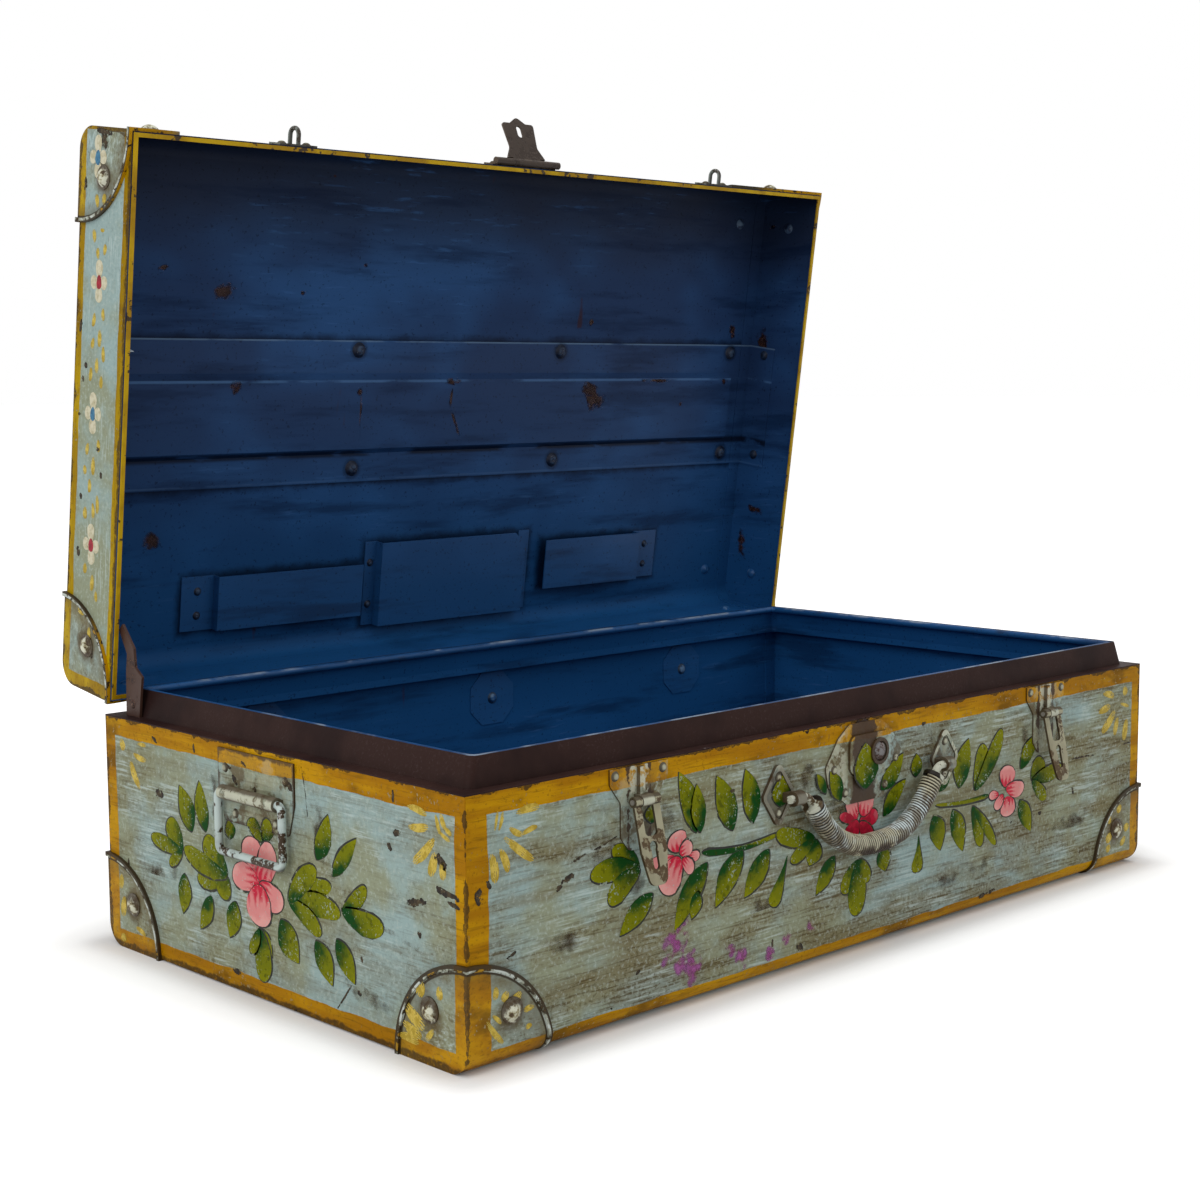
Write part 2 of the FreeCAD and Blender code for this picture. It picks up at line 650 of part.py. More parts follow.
rim_shares = [1.0, 0.8]
for name, side in (("handle_plate_left", -1), ("handle_plate_right", 1)):
    made = new_body(name)
    x = size.handle_plate_spacing * side
    pad(made, "XZ_Plane", half_width, size.handle_plate_thick,
        diamond(x, handle_plate_height, rim_shares[0]))
    pad(made, "XZ_Plane", half_width + size.handle_plate_thick, size.handle_plate_rim,
        diamond(x, handle_plate_height, rim_shares[0]),
        diamond(x, handle_plate_height, rim_shares[1]))
    start = size.eye_inner if side > 0 else -size.eye_inner - size.eye_length
    pad(made, "YZ_Plane", start, size.eye_length,
        (-handle_y, handle_eye_height, size.eye_radius))
    pad(made, "YZ_Plane", start, size.eye_length, box_corners(
        -handle_y, handle_eye_height - size.eye_stem, -half_width,
        handle_eye_height + size.eye_stem))
    pocket(made, "YZ_Plane", start - size.overrun, size.eye_length + size.overrun * 2,
           (-handle_y, handle_eye_height, size.handle_pin_radius + size.bail_clearance))
    keep(made, name)
heads = []
for side in (-1, 1):
    for up in (-1, 1):
        heads += small_rivet(size.handle_plate_spacing * side,
                             -half_width - size.handle_plate_thick,
                             handle_plate_height + size.handle_plate_rivet_height * up,
                             FRONT)
        heads += rivet(size.handle_plate_spacing * side, size.sheet - half_width,
                       handle_plate_height + size.handle_plate_rivet_height * up, BACK)
bundle("handle_plate_rivets", heads)

grip_x = size.handle_low_half + (size.handle_shoulder - size.handle_low_half) * grip_end_share
grip_z = handle_low + (handle_eye_height - handle_low) * grip_end_share
rod = new_body("handle_rod")
grip_path = line_through(new_sketch(rod, "XZ_Plane", handle_y), [
    (0, handle_low), (size.handle_low_half, handle_low, size.handle_low_bend),
    (grip_x, grip_z)], False)
grip_round = ring(new_sketch(rod, "YZ_Plane"), -handle_y, handle_low, size.grip_radius)
grip = pipe(rod, grip_path, grip_round)
rod_path = line_through(new_sketch(rod, "XZ_Plane", handle_y), [
    (0, handle_low), (size.handle_low_half, handle_low, size.handle_low_bend),
    (size.handle_shoulder, handle_eye_height, size.handle_top_bend),
    (size.handle_pin_end, handle_eye_height)], False)
rod_round = ring(new_sketch(rod, "YZ_Plane"), -handle_y, handle_low,
                 size.handle_pin_radius)
bar = pipe(rod, rod_path, rod_round)
document.recompute()
both = rod.newObject("PartDesign::Mirrored", "handle_both")
both.Originals = [grip, bar]
for plane in rod.Origin.OriginFeatures:
    if plane.Role == "YZ_Plane":
        both.MirrorPlane = (plane, [""])
rod.Tip = both
slope = Vector(size.handle_shoulder.number - size.handle_low_half.number, 0,
               handle_eye_height.number - handle_low.number).normalize()
grip_tip = Vector(grip_x.number, -handle_y.number, grip_z.number)
collars = []
for side in (-1, 1):
    collar = document.addObject("Part::Cylinder", "collar")
    bind(collar, "Radius", size.collar_radius)
    bind(collar, "Height", size.collar_length)
    way = Vector(slope.x * side, 0, slope.z)
    spot = Vector(grip_tip.x * side, grip_tip.y, grip_tip.z) - way * size.collar_length.number
    collar.Placement = FreeCAD.Placement(spot, FreeCAD.Rotation(Vector(0, 0, 1), way))
    collars.append(collar)
core = document.addObject("Part::MultiFuse", "handle_core")
core.Shapes = [rod] + collars
keep(core, "handle_core")


def grip_line():
    """The middle line of the grip from collar to collar, as runs and one bend a side."""
    low = Vector(size.handle_low_half.number, -handle_y.number, handle_low.number)
    middle = Vector(0, -handle_y.number, handle_low.number)
    end = grip_tip - slope * size.collar_length.number
    bend = size.handle_low_bend.number
    entry, leave, centre = corner_cut(middle, low, end, bend)
    swing = (entry - centre).getAngle(leave - centre)
    return (entry - middle).Length, bend, swing, (end - leave).Length, centre


def grip_frame(along):
    """Place and direction on the middle line, at this distance right of its lowest point."""
    flat, bend, swing, straight, centre = grip_line()
    side = -1 if along < 0 else 1
    far = abs(along)
    if far < flat:
        x, z, turn = far, handle_low.number, 0.0
    elif far < flat + bend * swing:
        turn = (far - flat) / bend
        x = centre.x + bend * math.sin(turn)
        z = centre.z - bend * math.cos(turn)
    else:
        turn = swing
        rest = far - flat - bend * swing
        x = centre.x + bend * math.sin(turn) + rest * math.cos(turn)
        z = centre.z - bend * math.cos(turn) + rest * math.sin(turn)
    spot = Vector(x * side, -handle_y.number, z)
    along_way = Vector(math.cos(turn), 0, math.sin(turn) * side)
    out_way = Vector(-math.sin(turn) * side, 0, math.cos(turn))
    return spot, along_way, out_way


def arc_middle(start, way, end):
    chord = end - start
    run = chord.Length
    unit = chord / run
    off = way - unit * way.dot(unit)
    turn = math.atan2(off.Length, way.dot(unit))
    off.normalize()
    return start + chord / 2 + off * (run / 2 * math.tan(turn / 2))


def two_arcs(start, way, end, end_way):
    """Two arcs that leave one point and reach the next along their given directions."""
    span = end - start
    open_share = 1 - way.dot(end_way)
    along = span.dot(way + end_way)
    reach = math.sqrt(along * along + 2 * open_share * span.dot(span)) - along
    reach = reach / (2 * open_share)
    first = start + way * reach
    last = end - end_way * reach
    joint = (first + last) / 2
    joint_way = (last - first).normalize()
    return [Part.Arc(start, arc_middle(start, way, joint), joint).toShape(),
            Part.Arc(joint, arc_middle(joint, joint_way, end), end).toShape()]


end_room_share = 5
turn_in_share = 1.5
turn_out_share = 2.2


def winding():
    """One unbroken wire wound round the grip, its ends turned square to the collars."""
    flat, bend, swing, straight, centre = grip_line()
    wire = size.winding_wire_radius.number
    half = flat + bend * swing + straight
    coil = size.grip_radius.number + wire + size.winding_gap.number
    wound = half - end_room_share * wire
    pitch = size.winding_pitch.number
    quarters = int(2 * wound / pitch) * 4
    pitch = 2 * wound / (quarters / 4)
    across = Vector(0, 1, 0)
    places = []
    for step in range(quarters + 1):
        along = -wound + 2 * wound * step / quarters
        angle = math.pi / 2 * step
        spot, ahead, out = grip_frame(along)
        round_way = across * math.cos(angle) - out * math.sin(angle)
        point = spot + (out * math.cos(angle) + across * math.sin(angle)) * coil
        bend_share = 1.0
        if flat <= abs(along) <= flat + bend * swing:
            bend_share = 1 - coil * math.cos(angle) / bend
        way = round_way * (2 * math.pi * coil) + ahead * (pitch * bend_share)
        places.append((point, way.normalize()))
    edges = []
    for (start, way), (end, end_way) in zip(places, places[1:]):
        edges += two_arcs(start, way, end, end_way)
    for at_end in (False, True):
        point, way = places[-1] if at_end else (places[0][0], -places[0][1])
        ahead = grip_frame(wound if at_end else -wound)[1] * (1 if at_end else -1)
        sideways = (way - ahead * way.dot(ahead)).normalize()
        turned = point + sideways * (turn_in_share * wire) + ahead * (turn_out_share * wire)
        stop = turned + ahead * (2 * wire)
        lead = two_arcs(point, way, turned, ahead) + [Part.LineSegment(turned, stop).toShape()]
        if at_end:
            edges += lead
        else:
            lead = two_arcs(turned, -ahead, point, -way)
            edges = [Part.LineSegment(stop, turned).toShape()] + lead + edges
            first, first_way = stop, -ahead
    path = Part.Wire(edges)
    section = Part.Wire([Part.Circle(first, first_way, wire).toShape()])
    solid = path.makePipeShell([section], True, False)
    line = path.discretize(Number=quarters * 10)
    turn = 40
    least = min((line[i] - line[j]).Length
                for i in range(0, len(line) - turn // 2, 3)
                for j in range(i + turn // 2, min(i + turn * 3 // 2, len(line))))
    print(f"winding: {quarters // 4} turns, least gap to itself {least - 2 * wire:.2f} mm")
    print(f"winding: volume {solid.Volume:.0f}, section by length "
          f"{math.pi * wire * wire * path.Length:.0f} mm3")
    return solid


coil = document.addObject("Part::Feature", "handle_winding")
coil.Shape = winding()
keep(coil, "handle_winding")


# Latches. A shield plate under each end of the mouth carries a knuckle, and a forked lever
# hangs on its pin, ready to swing up so that its keyhole slips over the lid's keeper.

latch_y = half_width + size.latch_out
end_round_share = 0.9
pins = []
heads = []
for name, side in (("left", -1), ("right", 1)):
    x = latch_spacing * side
    top = latch_plate_top
    made = new_body("latch_plate_" + name)
    half, waist, base = size.latch_plate_half, size.latch_waist_half, size.latch_foot_half
    turn = size.latch_round
    low = top - size.latch_plate_drop
    outline = [(x - half, top), (x - half, top - size.latch_plate_shoulder, turn),
               (x - waist, top - size.latch_plate_waist, turn),
               (x - waist, low + turn * 2, turn), (x - base, low, turn),
               (x + base, low, turn), (x + waist, low + turn * 2, turn),
               (x + waist, top - size.latch_plate_waist, turn),
               (x + half, top - size.latch_plate_shoulder, turn), (x + half, top)]
    pad(made, "XZ_Plane", half_width, size.latch_plate_thick, outline)
    knuckle = x - size.latch_knuckle_half
    pad(made, "YZ_Plane", knuckle, size.latch_knuckle_half * 2,
        (-latch_y, latch_pivot_height, size.latch_knuckle_radius))
    pad(made, "YZ_Plane", knuckle, size.latch_knuckle_half * 2, box_corners(
        -latch_y, latch_pivot_height, -half_width,
        latch_pivot_height + size.latch_knuckle_radius))
    pad(made, "XZ_Plane", half_width, size.latch_rib_height, box_corners(
        x - size.latch_rib_half, latch_pivot_height, x + size.latch_rib_half,
        latch_rib_top))
    pin_hole = size.latch_pin_radius + size.pin_clearance
    pocket(made, "YZ_Plane", knuckle - size.overrun,
           (size.latch_knuckle_half + size.overrun) * 2,
           (-latch_y, latch_pivot_height, pin_hole))
    keep(made, "latch_plate_" + name)
    pins.append(disc(x - size.latch_pin_half, -latch_y, latch_pivot_height, RIGHT,
                     size.latch_pin_radius, size.latch_pin_half * 2))
    for way in (-1, 1):
        heads += small_rivet(x + size.latch_rivet_side * way,
                             -half_width - size.latch_plate_thick,
                             top - size.latch_rivet_drop, FRONT)

    lever = new_body("latch_lever_" + name)
    pivot = latch_pivot_height
    broad, tip, gap = size.lever_half, size.lever_tip_half, size.lever_gap_half
    end = pivot - size.lever_length
    shape = [(x - broad, pivot), (x - broad, pivot - size.lever_taper, size.lever_round),
             (x - tip, end, size.lever_round), (x + tip, end, size.lever_round),
             (x + broad, pivot - size.lever_taper, size.lever_round), (x + broad, pivot),
             (x + gap, pivot), (x + gap, pivot - size.lever_fork, gap / 2),
             (x - gap, pivot - size.lever_fork, gap / 2), (x - gap, pivot)]
    pad(lever, "XZ_Plane", latch_y - size.lever_thick / 2, size.lever_thick, shape)
    for way in (-1, 1):
        start = x + gap if way > 0 else x - broad
        pad(lever, "YZ_Plane", start, broad - gap,
            (-latch_y, pivot, size.lever_barrel_radius))
    pocket(lever, "YZ_Plane", x - broad - size.overrun, (broad + size.overrun) * 2,
           (-latch_y, pivot, pin_hole))
    pocket(lever, "XZ_Plane", latch_y - size.overrun, size.overrun * 2,
           (x, pivot - size.lever_hole_drop, size.lever_hole_radius))
    slot = size.lever_slot_half
    pocket(lever, "XZ_Plane", latch_y - size.overrun, size.overrun * 2, [
        (x - slot, pivot - size.lever_hole_drop),
        (x - slot, pivot - size.lever_slot_end, slot * end_round_share),
        (x + slot, pivot - size.lever_slot_end, slot * end_round_share),
        (x + slot, pivot - size.lever_hole_drop)])
    keep(lever, "latch_lever_" + name)
    lever.Placement = FreeCAD.Placement(
        Vector(), FreeCAD.Rotation(Vector(-1, 0, 0), size.lever_tilt.number),
        Vector(0, -latch_y.number, pivot.number))
bundle("latch_pins", pins)
bundle("latch_plate_rivets", heads)

for name, side in (("keeper_left", -1), ("keeper_right", 1)):
    x = latch_spacing * side
    made = new_body(name)
    margin = size.keeper_plate_margin + size.keeper_wire_radius
    pad(made, "XZ_Plane", half_width, size.keeper_plate_thick, box_corners(
        x - size.keeper_plate_half, keeper_low - margin + size.keeper_wire_radius,
        x + size.keeper_plate_half, keeper_high + margin, size.keeper_wire_radius))
    reach = half_width + size.keeper_reach
    root = half_width + size.keeper_root
    loop = line_through(new_sketch(made, "YZ_Plane", x), [
        (-root, keeper_low), (-reach, keeper_low, size.keeper_bend),
        (-reach, keeper_high, size.keeper_bend), (-root, keeper_high)], False)
    loop_round = ring(new_sketch(made, "XZ_Plane", root), x, keeper_low,
                      size.keeper_wire_radius)
    pipe(made, loop, loop_round)
    keep(made, name).Placement = lid_placement


# Lock. A shield plate with a raised boss, a key slot and a ringed push button, and a case
# behind the front wall that the button slides into.

made = new_body("lock_plate")
top = lock_top
turn = size.lock_round
right_side = [(size.lock_top_half, top), (size.lock_shoulder_half, top - size.lock_shoulder),
              (size.lock_wide_half, top - size.lock_wide, turn),
              (size.lock_low_half, top - size.lock_low, turn),
              (size.lock_foot_half, top - size.lock_foot, turn)]
left_side = [(-c[0], *c[1:]) for c in reversed(right_side)]
pad(made, "XZ_Plane", half_width, size.lock_plate_thick, right_side + left_side)
boss_y = half_width + size.lock_plate_thick
pad(made, "XZ_Plane", boss_y, size.lock_boss_rise, box_corners(
    -size.lock_boss_left, lock_boss_low, size.lock_boss_right, lock_boss_top,
    size.lock_boss_round))
pad(made, "XZ_Plane", boss_y, size.lock_boss_rise + size.button_ring_rise,
    (size.button_side, button_height, button_hole + size.button_ring_width))
pocket(made, "XZ_Plane", half_width - size.overrun, size.overrun * 3,
       (size.button_side, button_height, button_hole))
pocket(made, "XZ_Plane", half_width - size.overrun, size.overrun * 3, box_corners(
    -size.lock_slot_side - size.lock_slot_half, lock_slot_low,
    size.lock_slot_half - size.lock_slot_side, lock_slot_top))
keep(made, "lock_plate")

made = new_body("lock_case")
back_y = half_width - size.sheet - size.lock_case_depth
pad(made, "XZ_Plane", back_y, size.lock_case_depth, box_corners(
    -size.lock_boss_left, lock_boss_low, size.lock_boss_right, lock_boss_top,
    size.sheet))
pocket(made, "XZ_Plane", half_width - size.button_depth - size.button_travel - size.sheet,
       size.button_depth + size.button_travel + size.overrun,
       (size.button_side, button_height, button_hole))
keep(made, "lock_case")

stem = disc(size.button_side, size.button_depth - half_width, button_height, FRONT,
            size.button_radius,
            size.button_depth + size.lock_plate_thick + size.lock_boss_rise)
crown = dome(size.button_side, -boss_y - size.lock_boss_rise, button_height, FRONT,
             size.button_radius, size.button_rise)
button = document.addObject("Part::MultiFuse", "lock_button")
button.Shapes = [stem, crown]
keep(button, "lock_button")

heads = []
for way in (-1, 1):
    heads += small_rivet(size.lock_rivet_side * way, -boss_y, top - size.lock_rivet_drop, FRONT)
    heads += small_rivet(size.lock_rivet_low_side * way, -boss_y,
                         top - size.lock_rivet_low_drop, FRONT)
bundle("lock_plate_rivets", heads)


# Hasp. A two-knuckle base on the lid's front edge, a pin, and a waisted leaf with an oval
# hole, standing up past square where it was left.

hasp_y = half_width + size.hasp_out
x = -size.hasp_side
made = new_body("hasp_base")
pad(made, "XZ_Plane", half_width, size.hasp_base_thick, box_corners(
    x - size.hasp_base_half, hasp_base_low, x + size.hasp_base_half,
    hasp_base_high))
knuckle_in = size.hasp_knuckle_half + size.knuckle_gap
knuckle_run = size.hasp_base_half - knuckle_in
for way in (-1, 1):
    start = x + knuckle_in if way > 0 else x - size.hasp_base_half
    pad(made, "YZ_Plane", start, knuckle_run,
        (-hasp_y, hasp_pivot_height, size.hasp_knuckle_radius))
    pad(made, "YZ_Plane", start, knuckle_run, box_corners(
        -half_width - size.hasp_neck - size.hasp_base_thick / 2, hasp_pivot_height,
        -half_width - size.hasp_base_thick / 2, hasp_base_low + size.hasp_neck))
hasp_hole = size.hasp_pin_radius + size.pin_clearance
pocket(made, "YZ_Plane", x - size.hasp_base_half - size.overrun,
       (size.hasp_base_half + size.overrun) * 2,
       (-hasp_y, hasp_pivot_height, hasp_hole))
keep(made, "hasp_base").Placement = lid_placement
bundle("hasp_pin", [disc(x - size.hasp_base_half, -hasp_y, hasp_pivot_height, RIGHT,
                         size.hasp_pin_radius, size.hasp_base_half * 2)], lid_placement)

leaf = new_body("hasp_leaf")
pivot = hasp_pivot_height
turn = size.hasp_tip_round
outline = [(x - size.hasp_flare_half, pivot - size.hasp_flare_drop),
           (x - size.hasp_waist_half, pivot - size.hasp_waist_drop, turn),
           (x - size.hasp_tip_half, pivot - size.hasp_tip_drop, turn / 2),
           (x - size.hasp_tip_half / 2, pivot - size.hasp_notch - turn / 4),
           (x, pivot - size.hasp_leaf_length, turn),
           (x + size.hasp_tip_half / 2, pivot - size.hasp_notch - turn / 4),
           (x + size.hasp_tip_half, pivot - size.hasp_tip_drop, turn / 2),
           (x + size.hasp_waist_half, pivot - size.hasp_waist_drop, turn),
           (x + size.hasp_flare_half, pivot - size.hasp_flare_drop),
           (x + size.hasp_knuckle_half, pivot - size.hasp_flare_drop),
           (x + size.hasp_knuckle_half, pivot), (x - size.hasp_knuckle_half, pivot),
           (x - size.hasp_knuckle_half, pivot - size.hasp_flare_drop)]
pad(leaf, "XZ_Plane", hasp_y - size.hasp_leaf_thick / 2, size.hasp_leaf_thick, outline)
pad(leaf, "YZ_Plane", x - size.hasp_knuckle_half, size.hasp_knuckle_half * 2,
    (-hasp_y, pivot, size.hasp_knuckle_radius))
pocket(leaf, "YZ_Plane", x - size.hasp_knuckle_half - size.overrun,
       (size.hasp_knuckle_half + size.overrun) * 2, (-hasp_y, pivot, hasp_hole))
hole = size.hasp_hole_half
pocket(leaf, "XZ_Plane", hasp_y - size.overrun, size.overrun * 2, box_corners(
    x - hole, pivot - size.hasp_hole_low, x + hole, pivot - size.hasp_hole_top, hole * end_round_share))
keep(leaf, "hasp_leaf")
hasp_turned = FreeCAD.Placement(
    Vector(), FreeCAD.Rotation(Vector(-1, 0, 0), size.hasp_turn.number),
    Vector(0, -hasp_y.number, pivot.number))
leaf.Placement = lid_placement.multiply(hasp_turned)


# Bails. A riveted plate on each end is formed into a tube, and a square wire bail hangs
# with its top bar in the tube.

bail_x = half_length + size.bail_out
tube_web_share = 0.6
heads = []
for name, side in (("left", -1), ("right", 1)):
    made = new_body("bail_plate_" + name)
    y = size.bail_side
    wide, narrow, turn = size.bail_plate_half, size.bail_plate_low_half, size.bail_plate_round
    outline = [(y - wide, bail_plate_top), (y - wide, bail_height, turn),
               (y - narrow, bail_plate_low, turn), (y + narrow, bail_plate_low, turn),
               (y + wide, bail_height, turn), (y + wide, bail_plate_top)]
    start = half_length if side > 0 else -half_length - size.bail_plate_thick
    pad(made, "YZ_Plane", start, size.bail_plate_thick, outline)
    tube = size.bail_tube_radius
    web = tube * tube_web_share
    pad(made, "XZ_Plane", -y - size.bail_tube_half, size.bail_tube_half * 2,
        (bail_x * side, bail_height, tube))
    near, far = (half_length, bail_x) if side > 0 else (-bail_x, -half_length)
    pad(made, "XZ_Plane", -y - size.bail_tube_half, size.bail_tube_half * 2, box_corners(
        near, bail_height - web, far, bail_height + web))
    pocket(made, "XZ_Plane", -y - size.bail_tube_half - size.overrun,
           (size.bail_tube_half + size.overrun) * 2,
           (bail_x * side, bail_height, size.bail_wire_radius + size.bail_clearance))
    keep(made, "bail_plate_" + name)
    face = (half_length + size.bail_plate_thick) * side
    for way in (-1, 1):
        heads += small_rivet(face, y + size.bail_rivet_side * way, bail_rivet_high,
                             (side, 0, 0))
        heads += small_rivet(face, y + size.bail_rivet_low_side * way, bail_rivet_low,
                             (side, 0, 0))

    bail = new_body("bail_" + name)
    low = bail_height - size.bail_drop
    half = size.bail_half
    path = line_through(new_sketch(bail, "YZ_Plane", bail_x * side), [
        (y, bail_height), (y + half, bail_height, size.bail_bend),
        (y + half, low, size.bail_bend), (y - half, low, size.bail_bend),
        (y - half, bail_height, size.bail_bend)])
    section = ring(new_sketch(bail, "XZ_Plane", -y), bail_x * side, bail_height,
                   size.bail_wire_radius)
    pipe(bail, path, section)
    keep(bail, "bail_" + name)
bundle("bail_plate_rivets", heads)


# Hinges. Three pairs of leaves on the back with three knuckles and a pin each, and a
# riveted backing plate inside the base.

def hinge_leaf(name, x, lid):
    made = new_body(name)
    half = size.leaf_width / 2
    inner = size.knuckle_middle / 2
    up = 1 if lid else -1
    near = hinge_z + size.leaf_start * up
    far = near + size.leaf_drop * up
    low, high = (near, far) if lid else (far, near)
    pad(made, "YZ_Plane", x - half, size.leaf_width, box_corners(
        half_width, low, half_width + size.leaf_thick, high))
    neck = half_width + size.neck_inset
    neck_low, neck_high = (hinge_z, near + size.leaf_thick) if lid else (
        near - size.leaf_thick, hinge_z)
    if lid:
        runs = [(x - inner + size.knuckle_gap, (inner - size.knuckle_gap) * 2)]
    else:
        runs = [(x - half, half - inner), (x + inner, half - inner)]
    for start, run in runs:
        pad(made, "YZ_Plane", start, run, box_corners(
            neck, neck_low, neck + size.leaf_thick, neck_high))
        pad(made, "YZ_Plane", start, run, (hinge_y, hinge_z, size.knuckle_radius))
    pocket(made, "YZ_Plane", x - half - size.overrun, size.leaf_width + size.overrun * 2,
           (hinge_y, hinge_z, size.hinge_pin_radius + size.pin_clearance))
    return made


base_leaves = []
lid_leaves = []
pins = []
backs = []
heads = []
lid_heads = []
for number, share in enumerate((-1, 0, 1)):
    x = hinge_spacing * share
    base_leaves.append(hinge_leaf(f"base_leaf_{number}", x, False))
    lid_leaves.append(hinge_leaf(f"lid_leaf_{number}", x, True))
    pins.append(disc(x - size.leaf_width / 2, hinge_y, hinge_z, RIGHT,
                     size.hinge_pin_radius, size.leaf_width))
    plate = new_body(f"backing_{number}")
    half, cut = size.backing_width / 2, size.backing_corner
    high = backing_top
    low = high - size.backing_height
    pad(plate, "XZ_Plane", size.sheet - half_width, size.sheet, [
        (x - half + cut, low), (x + half - cut, low), (x + half, low + cut),
        (x + half, high - cut), (x + half - cut, high), (x - half + cut, high),
        (x - half, high - cut), (x - half, low + cut)])
    backs.append(plate)
    middle = (high + low) / 2
    heads += rivet(x, half_width - size.sheet * 2, middle, FRONT)
    for way in (-1, 1):
        heads += small_rivet(x + size.knuckle_middle * way, half_width + size.leaf_thick,
                             hinge_z - size.leaf_start - size.leaf_drop / 2, BACK)
        lid_heads += small_rivet(x + size.knuckle_middle * way, half_width + size.leaf_thick,
                                 hinge_z + size.leaf_start + size.leaf_drop / 2, BACK)
bundle("base_hinge_leaves", base_leaves)
bundle("lid_hinge_leaves", lid_leaves, lid_placement)
bundle("hinge_pins", pins)
bundle("hinge_backing_plates", backs)
bundle("hinge_rivets", heads)


# Stay. A flat curved strap stands on the ledge in the back left corner, on a rivet.

stay = new_body("lid_stay")
stay_x = size.stay_inset - half_length
pad(stay, "YZ_Plane", stay_x, size.stay_thick, [
    (half_width - stay_height * back, size.base_height + stay_height * rise)
    for back, rise in stay_outline_shares])
keep(stay, "lid_stay")
bundle("stay_rivet", [dome(stay_x, half_width - size.stay_rivet_back, stay_rivet_height,
                           LEFT, size.stay_rivet_radius, size.stay_rivet_rise)])


# Inside of the lid. A hat-section strap runs the whole length and turns down onto both
# ends, and two stepped clips and a folded centre plate are riveted behind it.

panel = lid_top - size.sheet
inside = lid_half_length - size.sheet
strap = new_body("lid_strap")
thick = size.strap_thick
flat_half = inside - size.end_flange - size.flange_gap
pad(strap, "YZ_Plane", -flat_half, flat_half * 2, box_corners(
    -size.strap_front, panel - thick, size.strap_back, panel))
rise = panel - size.strap_rise
wall_low_share = 1.5
wall_high_share = 0.5
foot_in, top_in = thick * wall_low_share, thick * wall_high_share
pad(strap, "YZ_Plane", -strap_rise_half, strap_rise_half * 2, [
    (-size.strap_rise_front - size.strap_rise, panel), (-size.strap_rise_front, rise),
    (size.strap_rise_back, rise), (size.strap_rise_back + size.strap_rise, panel)])
pocket(strap, "YZ_Plane", -strap_rise_half + thick, (strap_rise_half - thick) * 2, [
    (-size.strap_rise_front - size.strap_rise + foot_in, panel + size.overrun),
    (-size.strap_rise_front - size.strap_rise + foot_in, panel),
    (-size.strap_rise_front + top_in, rise + thick),
    (size.strap_rise_back - top_in, rise + thick),
    (size.strap_rise_back + size.strap_rise - foot_in, panel),
    (size.strap_rise_back + size.strap_rise - foot_in, panel + size.overrun)])
step = panel - size.sheet - size.flange_gap
bridge = size.end_flange + size.flange_gap + thick
for start, tab in ((-inside, -inside), (inside - bridge, inside - thick)):
    pad(strap, "YZ_Plane", start, bridge, box_corners(
        -size.strap_front, step - thick, size.strap_back, step))
    pad(strap, "YZ_Plane", tab, thick, box_corners(
        -size.strap_front, panel - size.strap_tab, size.strap_back, step))
keep(strap, "lid_strap").Placement = lid_placement
heads = []
for side in (-1, 1):
    for reach in (size.strap_rivet_inner, strap_rivet_outer):
        for y in (-size.strap_rivet_front, size.strap_rivet_back):
            heads += rivet(reach * side, y, panel - thick, DOWN)
    for y in (-size.strap_rivet_front, size.strap_rivet_back):
        heads += small_rivet((inside - thick) * side, y, panel - size.strap_tab_rivet,
                             (-side, 0, 0))
bundle("lid_strap_rivets", heads, lid_placement)


def clip(name, root, tip, front, back):
    """A foot on the panel, a step, and an arm that stands off it."""
    made = new_body(name)
    way = 1 if tip.number > root.number else -1
    step = root + size.clip_foot * way
    thick = size.clip_thick * way
    low = panel - size.clip_rise
    pad(made, "XZ_Plane", -back, back - front, [
        (root, panel), (root, panel - size.clip_thick), (step, panel - size.clip_thick),
        (step, low - size.clip_thick), (tip, low - size.clip_thick), (tip, low),
        (step + thick, low), (step + thick, panel)])
    keep(made, name).Placement = lid_placement
    return root + size.clip_foot * way / 2, (front + back) / 2


heads = []
for spot in (clip("lid_clip_left", -clip_left_start, -clip_left_end,
                  clip_left_front, clip_left_back),
             clip("lid_clip_right", clip_right_end, clip_right_start,
                  clip_right_front, clip_right_back)):
    for way in (-1, 1):
        heads += small_rivet(spot[0], spot[1] + size.clip_foot * way / 3,
                             panel - size.clip_thick, DOWN)
folded = new_body("lid_pocket_plate")
half, thick, low = size.pocket_half, size.clip_thick, panel - size.pocket_rise
shoulder = half - size.pocket_foot
pad(folded, "XZ_Plane", -pocket_back, pocket_back - pocket_front, [
    (-half, panel), (-half, panel - thick), (-shoulder, panel - thick), (-shoulder, low),
    (shoulder, low), (shoulder, panel - thick), (half, panel - thick), (half, panel),
    (shoulder - thick, panel), (shoulder - thick, low + thick),
    (thick - shoulder, low + thick), (thick - shoulder, panel)])
notch = size.pocket_notch
pocket(folded, "XY_Plane", low - size.overrun, size.overrun + size.pocket_rise - thick, [
    (shoulder + size.overrun, pocket_front - size.overrun),
    (shoulder + size.overrun, pocket_front + notch),
    (shoulder - notch, pocket_front - size.overrun)])
keep(folded, "lid_pocket_plate").Placement = lid_placement
for way in (-1, 1):
    for y in (pocket_front, pocket_back):
        heads += small_rivet((half - size.pocket_foot / 2) * way,
                             (y + (pocket_front + pocket_back) / 2) / 2,
                             panel - thick, DOWN)
bundle("lid_clip_rivets", heads, lid_placement)

keeper_rivet_share = 0.65
for way in (-1, 1):
    lid_heads += small_rivet(size.hasp_rivet_side * way - size.hasp_side,
                             -half_width - size.hasp_base_thick,
                             (hasp_base_low + hasp_base_high) / 2 + size.hasp_neck,
                             FRONT)
    for side in (-1, 1):
        lid_heads += small_rivet(latch_spacing * side + size.keeper_plate_half * way * keeper_rivet_share,
                                 -half_width - size.keeper_plate_thick,
                                 (keeper_low + keeper_high) / 2, FRONT)
bundle("lid_rivets", lid_heads, lid_placement)


